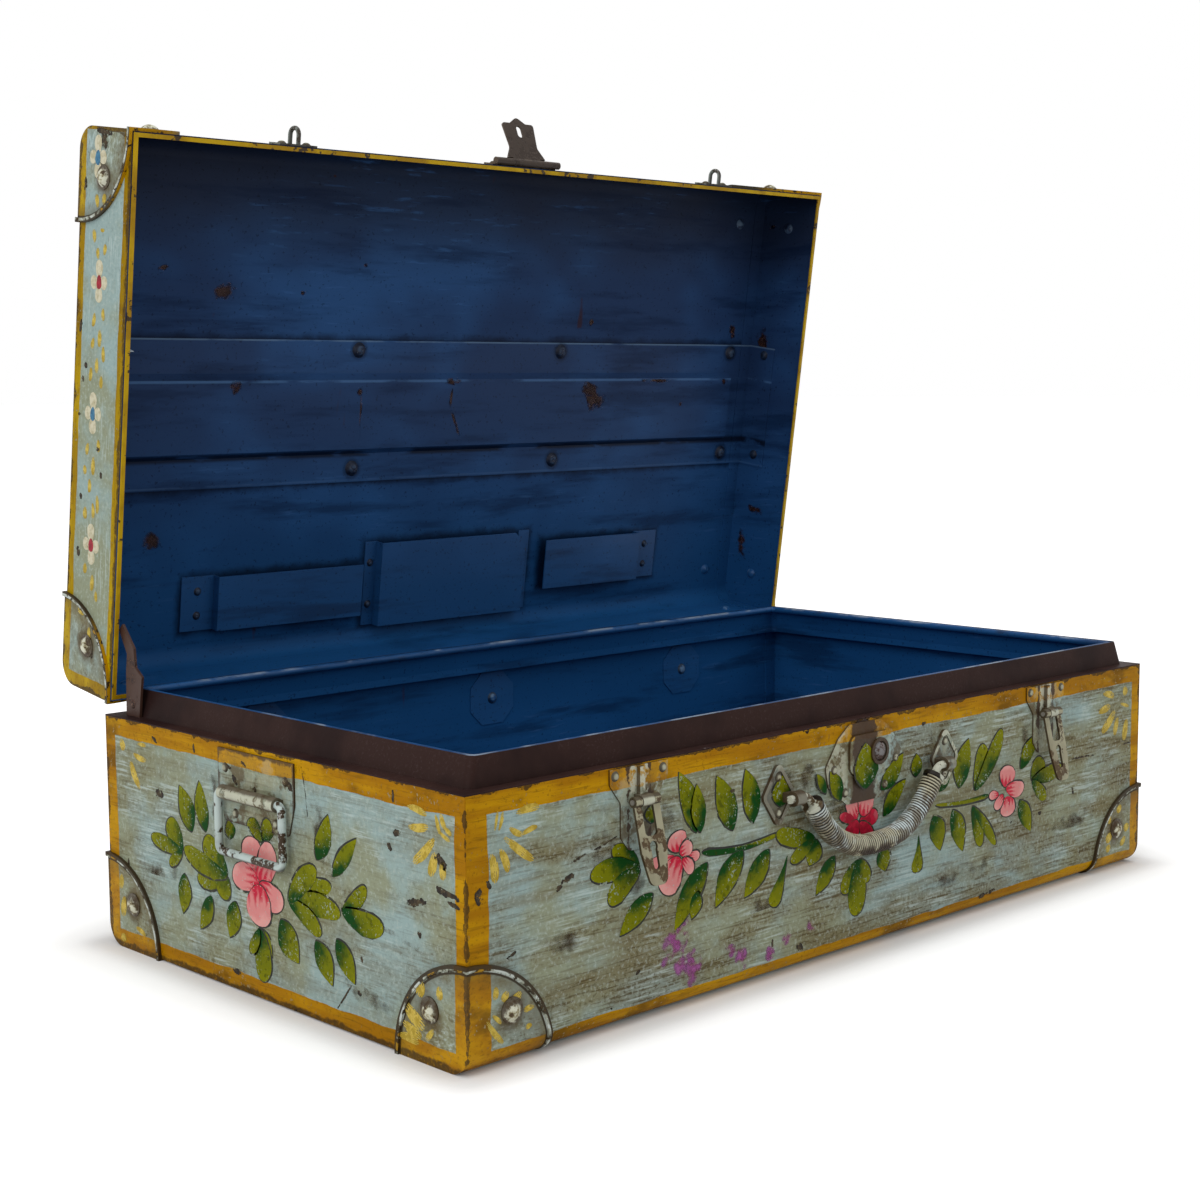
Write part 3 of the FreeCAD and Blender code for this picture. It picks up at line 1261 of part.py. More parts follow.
document.recompute()
for thing in document.Objects:
    if "Invalid" in thing.State or "Error" in thing.State:
        raise ValueError(f"{thing.Label} did not build: {thing.State}")
os.makedirs("parts", exist_ok=True)
for node in nodes:
    if node.Shape.isNull() or not node.Shape.isValid():
        raise ValueError(f"{node.Label} has no valid shape")
for node in nodes:
    node.Shape.exportStep(f"parts/{node.Label}.step")
print(len(nodes), "nodes written")
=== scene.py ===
import math
import random

import bmesh
import bpy
from mathutils import Matrix, Vector


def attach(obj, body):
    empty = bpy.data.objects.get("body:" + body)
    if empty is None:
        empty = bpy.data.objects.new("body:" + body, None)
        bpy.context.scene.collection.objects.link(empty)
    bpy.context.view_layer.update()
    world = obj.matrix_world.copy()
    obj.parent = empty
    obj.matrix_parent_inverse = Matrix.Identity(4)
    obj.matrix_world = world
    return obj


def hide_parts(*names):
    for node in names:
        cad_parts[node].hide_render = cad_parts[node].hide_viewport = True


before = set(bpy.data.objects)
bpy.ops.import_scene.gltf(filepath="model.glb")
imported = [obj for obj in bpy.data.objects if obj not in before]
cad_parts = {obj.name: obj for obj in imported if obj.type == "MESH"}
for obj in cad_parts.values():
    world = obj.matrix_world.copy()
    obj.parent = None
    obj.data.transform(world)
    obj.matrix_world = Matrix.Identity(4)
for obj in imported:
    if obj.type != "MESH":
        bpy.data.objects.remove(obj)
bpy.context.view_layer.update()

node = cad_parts


# Camera. It stands off the near left corner, a little above the mouth of the base, and
# looks along the diagonal of the trunk, turned a third of a degree.

turn, tilt, roll = math.radians(-43.9197), math.radians(6.38285), math.radians(-0.3643)
backward = Vector((math.sin(turn) * math.cos(tilt), -math.cos(turn) * math.cos(tilt), math.sin(tilt)))
level = (-backward).cross(Vector((0, 0, 1))).normalized()
upright = level.cross(-backward)
right = level * math.cos(roll) + upright * math.sin(roll)
up = upright * math.cos(roll) - level * math.sin(roll)
camera = bpy.data.objects.new("camera", bpy.data.cameras.new("camera"))
sensor_wide, focal_pixels, frame_pixels = 36, 1960.39, 1200
camera.data.sensor_width = sensor_wide
camera.data.lens = sensor_wide * focal_pixels / frame_pixels
camera.data.clip_start = 0.05
camera.matrix_world = Matrix((right, up, backward)).transposed().to_4x4()
camera.location = (-0.97074, -0.94856, 0.36516)
bpy.context.scene.collection.objects.link(camera)
bpy.context.scene.camera = camera
bpy.context.scene.view_settings.view_transform = "Standard"


# Floor, backdrop and light. The trunk stands on a white floor under soft lamps, the
# strongest of them on its left. Floor and world are plain white to the eye, and the floor
# glows less the nearer it is to the trunk, a painted shade round its foot that keeps and
# deepens the shadow.

class Wire:
    """A socket of a node tree, with the plain maths that the finishes need."""

    def __init__(self, tree, socket=None):
        self.tree = tree
        self.socket = socket

    def add(self, kind, settings=None, values=None, output=0):
        """A node of this kind, its settings made first, then its sockets set or linked."""
        made = self.tree.nodes.new(kind)
        for name, value in (settings or {}).items():
            setattr(made, name, value)
        for name, value in (values or {}).items():
            if isinstance(value, Wire):
                self.tree.links.new(value.socket, made.inputs[name])
            else:
                made.inputs[name].default_value = value
        return Wire(self.tree, made.outputs[output] if len(made.outputs) else None)

    def maths(self, operation, *values):
        return self.add("ShaderNodeMath", {"operation": operation}, dict(enumerate(values)))

    def __add__(self, other):
        return self.maths("ADD", self, other)

    def __sub__(self, other):
        return self.maths("SUBTRACT", self, other)

    def __rsub__(self, other):
        return self.maths("SUBTRACT", other, self)

    def __mul__(self, other):
        return self.maths("MULTIPLY", self, other)

    __radd__ = __add__
    __rmul__ = __mul__

    def size(self):
        return self.maths("ABSOLUTE", self)

    def most(self, other):
        return self.maths("MAXIMUM", self, other)

    def least(self, other):
        return self.maths("MINIMUM", self, other)

    def rise(self, low, high):
        """Nought below low, one above high and a smooth step between."""
        return self.add("ShaderNodeMapRange", {"interpolation_type": "SMOOTHSTEP"}, {
            "Value": self, "From Min": low, "From Max": high})

    def between(self, first, other, share):
        """A colour that is this share of the way from the first to the other."""
        return self.add("ShaderNodeMix", {"data_type": "RGBA"}, {0: share, 6: first, 7: other}, 2)

    def toward(self, other, share):
        return self.between(self, other, share)

    def parts(self):
        made = self.add("ShaderNodeSeparateXYZ", None, {0: self})
        outputs = made.socket.node.outputs
        return [Wire(self.tree, outputs[i]) for i in range(3)]


def shade(red, green, blue):
    """The linear colour of a paint chip read as plain 0 to 255 values."""
    return tuple((v / 255) ** 2.2 for v in (red, green, blue)) + (1,)


def new_tree(name):
    made = bpy.data.materials.new(name)
    made.use_nodes = True
    made.node_tree.nodes.clear()
    return made, Wire(made.node_tree)


def seen_plainly(start):
    """One where the eye, a gloss or glass sees the backdrop, nought where it only lights."""
    path = start.add("ShaderNodeLightPath").socket.node.outputs
    eye, gloss, glass = (Wire(start.tree, path["Is " + ray + " Ray"])
                         for ray in ("Camera", "Glossy", "Transmission"))
    return eye.most(gloss).most(glass)


world = bpy.data.worlds.new("studio")
world.use_nodes = True
world.node_tree.nodes.clear()
start = Wire(world.node_tree)
white, world_light = (1, 1, 1, 1), 0.4
glow = start.add("ShaderNodeBackground", None, {
    "Color": white, "Strength": seen_plainly(start) * (1 - world_light) + world_light})
start.add("ShaderNodeOutputWorld", None, {"Surface": glow})
bpy.context.scene.world = world

bm = bmesh.new()
floor_reach = 30
bmesh.ops.create_grid(bm, x_segments=8, y_segments=8, size=floor_reach)
floor = bpy.data.objects.new("floor", bpy.data.meshes.new("floor"))
bm.to_mesh(floor.data)
bm.free()
bpy.context.scene.collection.objects.link(floor)
material, start = new_tree("white_floor")
seen = seen_plainly(start)
spot = Wire(start.tree, start.add("ShaderNodeTexCoord").socket.node.outputs["Object"])
x, y = spot.parts()[:2]
half_long, half_deep = 0.330, 0.181
beyond_x, beyond_y = (x.size() - half_long).most(0), (y.size() - half_deep).most(0)
away = beyond_x * beyond_x + beyond_y * beyond_y
away = away.maths("SQRT", away)
# Painted shade: the floor's glow is least at the trunk's foot and grows with distance from it.
glow = away.rise(0.002, 0.028) * 0.25 + away.rise(0.01, 0.07) * 0.2 + away.rise(0.02, 1.2) * 0.20 + 0.02
matt = start.add("ShaderNodeBsdfPrincipled", None, {
    "Base Color": (0.86, 0.86, 0.86, 1), "Roughness": 0.9, "Specular IOR Level": 0.1,
    "Emission Color": white, "Emission Strength": seen * glow})
start.add("ShaderNodeOutputMaterial", None, {"Surface": matt})
floor.data.materials.append(material)

for name, place, aim, wide, power in (
        ("lamp_left", (-2.6, -0.5, 1.9), (0, 0, 0.2), 2.2, 40),
        ("lamp_front", (0.7, -2.8, 1.7), (0, 0, 0.15), 2.0, 12),
        ("lamp_over", (0.1, -0.2, 3.0), (0, 0, 0.2), 2.4, 30)):
    lamp = bpy.data.objects.new(name, bpy.data.lights.new(name, "AREA"))
    lamp.data.size = wide
    lamp.data.energy = power
    lamp.location = place
    lamp.rotation_euler = (Vector(place) - Vector(aim)).to_track_quat("Z", "Y").to_euler()
    bpy.context.scene.collection.objects.link(lamp)


# Base shell. Thin steel sheet, one piece for front, floor and back and one for each end,
# brushed pale blue-green outside with ochre bands along every edge, and navy inside.

def mottle(spot, scale, shift=0, detail=4, stretch=(1, 1, 1)):
    """Cloudy paint variation, so many clouds to the metre, packed closer by the stretch."""
    spread = tuple(scale * s for s in stretch)
    moved = spot.add("ShaderNodeVectorMath", {"operation": "MULTIPLY_ADD"}, {
        0: spot, 1: spread, 2: (shift * 3.7, shift * 7.3, shift * 5.1)})
    return moved.add("ShaderNodeTexNoise", None, {
        "Vector": moved, "Scale": 1, "Detail": detail, "Roughness": 0.6})


def coat(start, colour, rough, height=None, depth=0.0003, **extra):
    """Closes a finish: one coat with its colour, gloss and surface."""
    values = {"Base Color": colour, "Roughness": rough, "Specular IOR Level": 0.22}
    if height is not None:
        values["Normal"] = start.add("ShaderNodeBump", None, {
            "Height": height, "Distance": depth, "Strength": 1})
    values.update({name.replace("_", " "): value for name, value in extra.items()})
    made = start.add("ShaderNodeBsdfPrincipled", None, values)
    start.add("ShaderNodeOutputMaterial", None, {"Surface": made})


def dress(material, *names):
    for name in names:
        for slot in node[name].material_slots:
            slot.material = material


hinge = Vector((0, 0.184, 0.158))
opened = math.radians(82)
shut_turn = Matrix.Rotation(opened, 3, "X")
shut_move = tuple(hinge - shut_turn @ hinge)


def own_place(start, lid=False):
    """Place and facing on the piece as it is when the trunk is shut, and as it stands."""
    coords = start.add("ShaderNodeTexCoord").socket.node.outputs
    spot, facing = Wire(start.tree, coords["Object"]), Wire(start.tree, coords["Normal"])
    if not lid:
        return spot, facing, spot
    return (start.add("ShaderNodeMapping", None, {
                "Vector": spot, "Rotation": (opened, 0, 0), "Location": shut_move}),
            start.add("ShaderNodeMapping", {"vector_type": "VECTOR"}, {
                "Vector": facing, "Rotation": (opened, 0, 0)}), spot)


def beside_edges(spot, shape, widths, waver):
    """How many of the box's faces, from left to top, are within their width of this place."""
    x, y, z = spot.parts()
    half_x, half_y, low, high = shape
    gaps = [half_x + x, half_x - x, half_y + y, half_y - y, z - low, high - z]
    total = 0
    for gap, width in zip(gaps, widths):
        total = (waver - (gap - width)).rise(-0.0002, 0.0002) + total
    return total


def outer_paint(start, spot, shape, bands, grain, grime):
    """Pale field with brushed grime, ochre bands, dark chips, rubbed edges and a dark foot, part grime
    and part painted shade.
    """
    cloud = mottle(spot, 14, 0, 5)
    brushed = mottle(spot, 7, 1, 6, grain)
    hairs = mottle(spot, 36, 2, 6, tuple(g ** 1.25 for g in grain))
    specks = mottle(spot, 420, 3)
    blotch = mottle(spot, 22, 4, 5, (1, 1, 1.6))
    x, y, z = spot.parts()
    smudge = mottle(spot, 15, 14, 6, tuple(g ** 0.4 for g in grain))
    splashed = (0.09 - z).rise(0, 0.06)
    smudge = (smudge + splashed * (0.05 * grime)).rise(0.45, 0.64)
    field = start.between(shade(142, 148, 124), shade(148, 170, 168), cloud.rise(0.42, 0.62))
    field = field.toward(shade(112, 100, 66), smudge * (0.5 * grime))
    field = field.toward(shade(112, 102, 72), brushed.rise(0.46, 0.66) * (0.5 * grime))
    field = field.toward(shade(80, 66, 38),
                         hairs.rise(0.52, 0.62) * (smudge * 0.55 + 0.4) * (0.75 * grime))
    field = field.toward(shade(194, 210, 208), hairs.rise(0.48, 0.38) * blotch.rise(0.48, 0.6) * 0.5)
    field = field.toward(shade(80, 70, 46), specks.rise(0.54, 0.66) * (smudge * 0.5 * grime + 0.15))
    field = field.toward(shade(178, 190, 182), specks.rise(0.46, 0.36) * 0.36)
    waver = (mottle(spot, 30, 5, 2) - 0.5) * 0.004 + (specks - 0.5) * 0.0006
    band = beside_edges(spot, shape, bands, waver).rise(1.3, 1.7)
    golden = 9 if shape[2] else 0  # the lid's ochre is a little yellower
    ochre = start.between(shade(188 - golden, 139 + golden, 0), shade(158 - golden, 108 + golden, 0),
                          (brushed + (cloud - 0.5) * 0.5).rise(0.38, 0.62))
    ochre = ochre.toward(shade(98, 68, 4), blotch.rise(0.54, 0.68) * 0.75)
    ochre = ochre.toward(shade(112, 80, 0), hairs.rise(0.54, 0.66) * 0.5)
    ochre = ochre.toward(shade(112, 80, 6), specks.rise(0.56, 0.66) * 0.5)
    ochre = ochre.toward(shade(172, 172, 142), specks.rise(0.6, 0.66) * blotch.rise(0.5, 0.6) * 0.5)
    colour = field.toward(ochre, band)
    ragged = mottle(spot, 70, 7, 5)
    near = beside_edges(spot, shape, (0.0008,) * 6, (ragged - 0.46) * 0.014).rise(1.2, 1.8)
    # Along the foot of the walls the dark edge line widens into a band: grime, and painted shade where
    # the trunk meets the floor.
    skirt = (shape[0] - x.size()).least(shape[1] - y.size()).rise(0.006, 0.002)
    near = near.most((z - shape[2] - (ragged - 0.4) * 0.008).rise(0.0042, 0.0024) * skirt)
    flakes = mottle(spot, 46, 6, 5, (1, 1, 1.7))
    chip = (flakes + near * 0.04).rise(0.72, 0.726)
    colour = colour.toward(shade(60, 46, 26), near * (0.85 * (specks - 0.2).rise(0, 0.3)))
    colour = colour.toward(shade(38, 31, 24), chip)
    rough = brushed * 0.2 + 0.42
    height = hairs * 0.6 + specks * 0.3 - chip * 0.5 + band * 0.2 - near * 0.3
    return colour, rough, height


def inner_paint(start, standing):
    """Navy enamel with lighter swept patches, scuffs, rust spots and a few runs; painted light low down
    and painted shade towards the top.
    """
    cloud = mottle(standing, 5, 8, 3, (1, 1, 1.4))
    swept = mottle(standing, 7, 9, 5, (1, 1, 8))
    scuff = mottle(standing, 34, 10, 3, (1, 1, 9))
    specks = mottle(standing, 420, 11, 2)
    z = standing.parts()[2]
    colour = start.between(shade(38, 58, 92), shade(46, 80, 126), cloud.rise(0.42, 0.66))
    # Painted light and shade by height: lighter blue low down, and dark to near black towards the top,
    # the shade under the lid's rim.
    colour = colour.toward(shade(24, 80, 132), z.rise(0.38, 0.14) * 0.7)
    colour = colour.toward(shade(36, 40, 52), z.rise(0.43, 0.5) * 0.75)
    colour = colour.toward(shade(12, 14, 22), z.rise(0.5, 0.53) * 0.7)
    colour = colour.toward(shade(14, 30, 56), swept.rise(0.5, 0.68) * 0.55)
    colour = colour.toward(shade(60, 98, 148), scuff.rise(0.58, 0.74) * cloud.rise(0.46, 0.6) * 0.45)
    colour = colour.toward(shade(14, 18, 28), specks.rise(0.62, 0.7) * 0.5)
    rust = mottle(standing, 17, 12, 4, (1, 1, 1.3))
    runs = mottle(standing, 46, 13, 2, (1, 1, 0.12)).rise(0.69, 0.72)
    spots = rust.rise(0.76, 0.78).most(runs * rust.rise(0.56, 0.62) * 0.7)
    colour = colour.toward(shade(60, 38, 28), spots * 0.9)
    rough = swept * 0.25 + 0.34 + spots * 0.3
    height = swept * 0.5 + specks * 0.15 - spots * 0.2
    return colour, rough, height


def within(spot, shape):
    """One for a place inside the shell's walls, nought for one on them or outside."""
    x, y, z = spot.parts()
    skin = 0.0004
    depth = (shape[0] - skin - x.size()).least(shape[1] - skin - y.size()).least(shape[3] - skin - z)
    return depth.maths("GREATER_THAN", depth, 0)


def sided(name, lid, middle, outside, seats=()):
    """Its outside finish on what faces out of the trunk, navy on what faces in.

    Inside, painted shade darkens the navy round the seats: the middle and half size of each in x and y."""
    made, start = new_tree(name)
    spot, facing, standing = own_place(start, lid)
    outward = start.add("ShaderNodeVectorMath", {"operation": "SUBTRACT"}, {0: spot, 1: middle})
    outward = start.add("ShaderNodeVectorMath", {"operation": "DOT_PRODUCT"}, {
        0: outward, 1: facing}, "Value")
    inside = outward.maths("LESS_THAN", outward, 0)
    out_colour, out_rough, out_height = outside(start, spot)
    in_colour, in_rough, in_height = inner_paint(start, standing)
    x, y = spot.parts()[:2]
    dirt_and_shade_mottle = mottle(spot, 60, 15)
    # Painted shade round each seat: the navy darkens to near black within a few millimetres of the
    # fitting.
    for at_x, at_y, half_x, half_y in seats:
        beyond = ((x - at_x).size() - half_x).most((y - at_y).size() - half_y)
        beside = (beyond + (dirt_and_shade_mottle - 0.5) * 0.01).rise(0.006, -0.001)
        in_colour = in_colour.toward(shade(8, 14, 28), beside * 0.75)
    coat(start, out_colour.toward(in_colour, inside), out_rough + (in_rough - out_rough) * inside,
         out_height + (in_height - out_height) * inside, 0.00025, Specular_IOR_Level=0.06)
    return made


base_shape = (half_long, half_deep, 0, 0.152)
base_bands = (0.0155, 0.0105, 0.0085, 0.012, 0.0118, 0.0128)
dress(sided("base_sheet_paint", False, (0, 0, 0.076), lambda start, spot: outer_paint(
    start, spot, base_shape, base_bands, (1, 10, 10), 1.15)), "base_wrap")
dress(sided("base_end_paint", False, (0, 0, 0.076), lambda start, spot: outer_paint(
    start, spot, base_shape, base_bands, (10, 1, 10), 0.62)), "base_end_left", "base_end_right")


# Rim lip and rolled bead. The lip stands inside the base's edge and takes the lid over
# it; it is brown outside and on top, navy inside, and the wired bead is worn pale.

def brown_paint(start, spot):
    cloud = mottle(spot, 14, 20)
    scuffs = mottle(spot, 90, 21, 5)
    specks = mottle(spot, 600, 22, 2)
    colour = start.between(shade(52, 37, 34), shade(40, 28, 27), cloud.rise(0.4, 0.62))
    colour = colour.toward(shade(66, 52, 50), specks.rise(0.56, 0.68) * cloud.rise(0.52, 0.4) * 0.6)
    colour = colour.toward(shade(150, 140, 136), scuffs.rise(0.71, 0.76) * 0.8)
    return colour, scuffs * 0.2 + 0.4, scuffs * 0.4 + specks * 0.3


dress(sided("lip_brown", False, (0, 0, 0.1), brown_paint), "rim_lip")

made, start = new_tree("bead_navy")
spot, facing = own_place(start)[:2]
colour, rough, height = inner_paint(start, spot)
wear_and_light_mottle = mottle(spot, 60, 23, 4, (0.35, 0.35, 1))
crest = facing.parts()[2].rise(0.3, 0.9)
colour = colour.toward(shade(128, 142, 158), wear_and_light_mottle.rise(0.52, 0.62) * crest * 0.85)
colour = colour.toward(shade(40, 38, 46), wear_and_light_mottle.rise(0.44, 0.36) * 0.5)
coat(start, colour, rough, height, 0.0002)
dress(made, "rim_bead")


# Corner guards of the base. Pressed quarter rounds of tin over each bottom corner, held
# by a domed rivet in each face; painted with the walls, the raised rims worn dark.

def from_seat(start, spot, corner, shape):
    """How far this place is from the middle of the nearest corner rivet."""
    folded = start.add("ShaderNodeVectorMath", {"operation": "ABSOLUTE"}, {0: spot})
    inset, proud = 0.03, 0.001
    rise = inset if corner[2] < shape[3] else corner[2] - inset
    hole = 1
    for seat in ((corner[0] - inset, corner[1] + proud, rise),
                 (corner[0] + proud, corner[1] - inset, rise),
                 (corner[0] - inset, corner[1] - inset, corner[2] + proud)):
        hole = start.add("ShaderNodeVectorMath", {"operation": "DISTANCE"}, {
            0: folded, 1: seat}, "Value").least(hole)
    return hole


def guards(name, lid, corner, shape, bands):
    """The walls' paint, with a worn ridge and grime round the rim and round each rivet."""
    made, start = new_tree(name)
    spot, facing = own_place(start, lid)[:2]
    colour, rough, height = outer_paint(start, spot, shape, bands, (4, 4, 9), 0.75)
    x, y, z = spot.parts()
    reach = [corner[0] - x.size(), corner[1] - y.size(), (z - corner[2]).size()]
    reach = reach[0] * reach[0] + reach[1] * reach[1] + reach[2] * reach[2]
    reach = reach.maths("SQRT", reach)
    hole = from_seat(start, spot, corner, shape)
    wander = mottle(spot, 70, 30)
    fine = mottle(spot, 260, 31)
    colour = colour.toward(shade(78, 60, 28), (hole + wander * 0.012).rise(0.020, 0.013) * 0.8)
    colour = colour.toward(shade(92, 74, 34), (reach + wander * 0.012).rise(0.050, 0.062) * 0.5)
    rim = (reach + fine * 0.0008).rise(0.0559, 0.0566)
    crest = reach.rise(0.0569, 0.0574) * reach.rise(0.0592, 0.0587)
    colour = colour.toward(shade(50, 39, 24), rim * 0.92)
    colour = colour.toward(shade(160, 164, 148),
                           crest * wander.rise(0.44, 0.5) * fine.rise(0.4, 0.46) * 0.9)
    colour = colour.toward(shade(196, 204, 198),
                           crest * wander.rise(0.52, 0.56) * fine.rise(0.44, 0.48) * 0.9)
    colour = colour.toward(shade(176, 134, 30), crest * wander.rise(0.42, 0.38) * 0.8)
    if lid:
        below = facing.parts()[2].rise(-0.5, -0.9)
        colour = colour.toward(shade(176, 130, 2), below * fine.rise(0.62, 0.56))
    coat(start, colour, rough, height, 0.00025, Specular_IOR_Level=0.12)
    return made


base_corner = (base_shape[0], base_shape[1], 0)
dress(guards("base_guard_paint", False, base_corner, base_shape, base_bands),
      *("base_guard_" + place for place in ("front_left", "front_right", "back_left", "back_right")))


# Rivets, hinge leaves, bails, levers and pins of the base. Steel, once painted with the
# walls and rubbed through by hands and weather, bare on the crests; painted shade
# darkens their sides and the faces that look down.

def worn_metal(name, top, under, bare, wear=0.5, lid=False, grain=120, inside=None, crown=None):
    """Old paint over metal, grimy and rubbed through by its wear.

    It is navy inside that box, and painted shade darkens it where it faces down and where it faces away
    from the crown's axes."""
    made, start = new_tree(name)
    spot, facing, standing = own_place(start, lid)
    cloud = mottle(spot, grain * 0.35, 40)
    rubs = mottle(spot, grain, 41, 5)
    specks = mottle(spot, grain * 6, 42, 3)
    rubbed = (rubs + (cloud - 0.5) * 0.5).rise(0.65 - wear * 0.25, 0.69 - wear * 0.25)
    shone = (specks + (rubs - 0.5) * 0.5).rise(0.6, 0.68) * rubbed
    colour = start.between(shade(*top), shade(*under), cloud.rise(0.4, 0.7) * 0.5)
    colour = colour.toward(shade(*under), rubbed)
    colour = colour.toward(shade(*bare), shone * 0.8)
    # Painted shade: darker on the faces that look down.
    colour = colour.toward(shade(*(v * 0.8 for v in under)),
                           facing.parts()[2].rise(-0.15, -0.75) * 0.75)
    side = 0
    # Painted light: with a crown, the faces along its axes stay pale and the sides turned away get
    # painted shade.
    if crown:
        across = dict(zip("xyz", facing.parts()))
        for axis in crown:
            side = across[axis].size().most(side)
        side = (side + (rubs - 0.5) * 0.3).rise(0.95, 0.78)
        colour = colour.toward(shade(*(v * 0.7 for v in under)), side * 0.9)
        shone = (shone + cloud.rise(0.55, 0.6) * side.rise(0.3, 0)).least(1)
    if inside:
        inner = within(spot, inside)
        navy = inner_paint(start, standing)[0]
        navy = navy.toward(shade(110, 138, 164), rubs.rise(0.44, 0.56) * 0.6)
        # Painted shade on the sides inside as well.
        navy = navy.toward(shade(8, 14, 28), side * 0.8)
        colour, shone = colour.toward(navy, inner), shone * (1 - inner)
    coat(start, colour, rubs * 0.25 + 0.34, rubs * 0.5 - rubbed * 0.5 + specks * 0.2, 0.0003,
         Metallic=shone * 0.6)
    return made


cream = (172, 172, 150)
dark_steel = (78, 64, 42)
bright = (186, 186, 180)
dress(worn_metal("base_rivet_worn", cream, dark_steel, bright, 0.46, False, 160, base_shape, "xy"),
      "handle_plate_rivets", "latch_plate_rivets", "lock_plate_rivets", "bail_plate_rivets",
      "hinge_rivets")
dress(worn_metal("hinge_leaf_worn", cream, dark_steel, bright, 0.42), "base_hinge_leaves")
dress(worn_metal("bail_wire", (184, 198, 194), (56, 43, 28), bright, 0.62, False, 100),
      "bail_left", "bail_right")
dress(worn_metal("lever_worn", (156, 152, 126), (76, 60, 38), (132, 124, 100),
                 0.58, False, 84, None, "y"),
      "latch_lever_left", "latch_lever_right")
dress(worn_metal("steel_pins", (120, 116, 108), (72, 64, 54), bright, 0.5, False, 200),
      "latch_pins", "hinge_pins")
dress(worn_metal("button_steel", (120, 118, 118), (60, 42, 34), (206, 206, 206), 0.5, False, 160),
      "lock_button")


def guard_rivet(name, lid, corner, shape):
    """Bright worn dome, its foot and washer brown with grime; navy inside the shell."""
    made, start = new_tree(name)
    spot, standing = own_place(start, lid)[::2]
    hole = from_seat(start, spot, corner, shape)
    rubs = mottle(spot, 240, 45)
    colour = start.between(shade(200, 200, 180), shade(150, 142, 110), rubs.rise(0.44, 0.54))
    colour = colour.toward(shade(70, 52, 30), rubs.rise(0.54, 0.58) * 0.9)
    colour = colour.toward(shade(58, 43, 24), (hole + (rubs - 0.5) * 0.006).rise(0.0046, 0.0058) * 0.9)
    inner = within(spot, shape)
    navy = inner_paint(start, standing)[0].toward(shade(110, 138, 164), rubs.rise(0.5, 0.6) * 0.3)
    coat(start, colour.toward(navy, inner), rubs * 0.3 + 0.25, rubs, 0.0002,
         Metallic=rubs.rise(0.5, 0.44) * hole.rise(0.005, 0.004) * (1 - inner) * 0.5)
    return made


dress(guard_rivet("base_guard_rivet", False, base_corner, base_shape), "base_guard_rivets")


# Plates of the base. Cut sheet riveted on the walls for handle, latches, lock and bails,
# painted over with the wall behind it and brown where hands and moving pieces rub.

def wall_plate(name, axis, grain, pale, brown):
    """A plate painted over with its wall: pale where worn, brown at its edges and in grime."""
    made, start = new_tree(name)
    spot, facing = own_place(start)[:2]
    colour, rough, height = outer_paint(start, spot, base_shape, base_bands, grain, 1.1)
    rubs = mottle(spot, 150, 43, 5)
    dirt_and_shade_mottle = mottle(spot, 60, 46)
    x, y, z = spot.parts()
    colour = colour.toward(shade(168, 166, 140), dirt_and_shade_mottle.rise(0.5, 0.42) * 0.35)
    band_foot = 0.141
    dirt_and_shade_mottle = (dirt_and_shade_mottle + (rubs - 0.5) * 0.4).rise(0.5, 0.6)
    colour = colour.toward(shade(84, 66, 36), dirt_and_shade_mottle * ((band_foot - z).rise(0, 0.004) * 0.5 + 0.25))
    colour = colour.toward(shade(190, 192, 172), pale(x, y, z) * rubs.rise(0.58, 0.5) * 0.9)
    colour = colour.toward(shade(62, 46, 34), brown(x, y, z, (rubs - 0.5) * 0.012) * 0.95)
    edge = facing.parts()[axis].size()
    colour = colour.toward(shade(60, 44, 24), (edge + (rubs - 0.5) * 0.5).rise(0.95, 0.6) * 0.85)
    coat(start, colour, rough, height + rubs * 0.5, 0.0003, Specular_IOR_Level=0.15)
    return made


latch_across, latch_foot = 0.203, 0.126
dress(wall_plate("latch_plate_paint", 1, (6, 6, 6),
                 lambda x, y, z: ((x.size() - latch_across).size() - 0.0065).rise(0.0015, 0)
                 * (z - latch_foot).rise(0, 0.003),
                 lambda x, y, z, waver: (((x.size() - latch_across).size() - 0.0088).size()
                                         + waver).rise(0.0016, 0.0006)),
      "latch_plate_left", "latch_plate_right")
dress(wall_plate("handle_plate_paint", 1, (6, 6, 6),
                 lambda x, y, z: (-1 * y).rise(0.18235, 0.1827),
                 lambda x, y, z, waver: ((z - 0.113).size() + x * 0.1
                                         + waver).rise(0.016, 0.006) * 0.7),
      "handle_plate_left", "handle_plate_right")
dress(wall_plate("lock_plate_paint", 1, (6, 6, 6),
                 lambda x, y, z: (z - 0.100).rise(0.0, 0.006) * (x + 0.016).rise(0, -0.006) * 0.6,
                 lambda x, y, z, waver: ((x + 0.002).size() + waver).rise(0.0135, 0.011).most(
                     (-1 * y).rise(0.1845, 0.1849))),
      "lock_plate")
dress(wall_plate("bail_plate_paint", 0, (10, 1, 10),
                 lambda x, y, z: (x.size() - 0.3345).rise(0, 0.002),
                 lambda x, y, z, waver: (((y - 0.009).size() - 0.0375).most((z - 0.126).size() - 0.0205)
                                         + waver * 0.6).rise(-0.001, 0.001) * 0.9),
      "bail_plate_left", "bail_plate_right")


# Lock case and hinge backing plates. Plain sheet fixed to the inside of the front and of
# the back, and painted navy with the walls.

def plain_navy(name, lid):
    """The inside's own paint."""
    made, start = new_tree(name)
    colour, rough, height = inner_paint(start, own_place(start, lid)[2])
    coat(start, colour, rough, height, 0.00025)
    return made


dress(plain_navy("base_inside_navy", False), "lock_case", "hinge_backing_plates")


# Handle winding. Thick wire wound tight round the bent bar from collar to collar, painted
# pale and rubbed bare at the middle of the grip; painted shade darkens it between the
# turns and on the faces that look down.

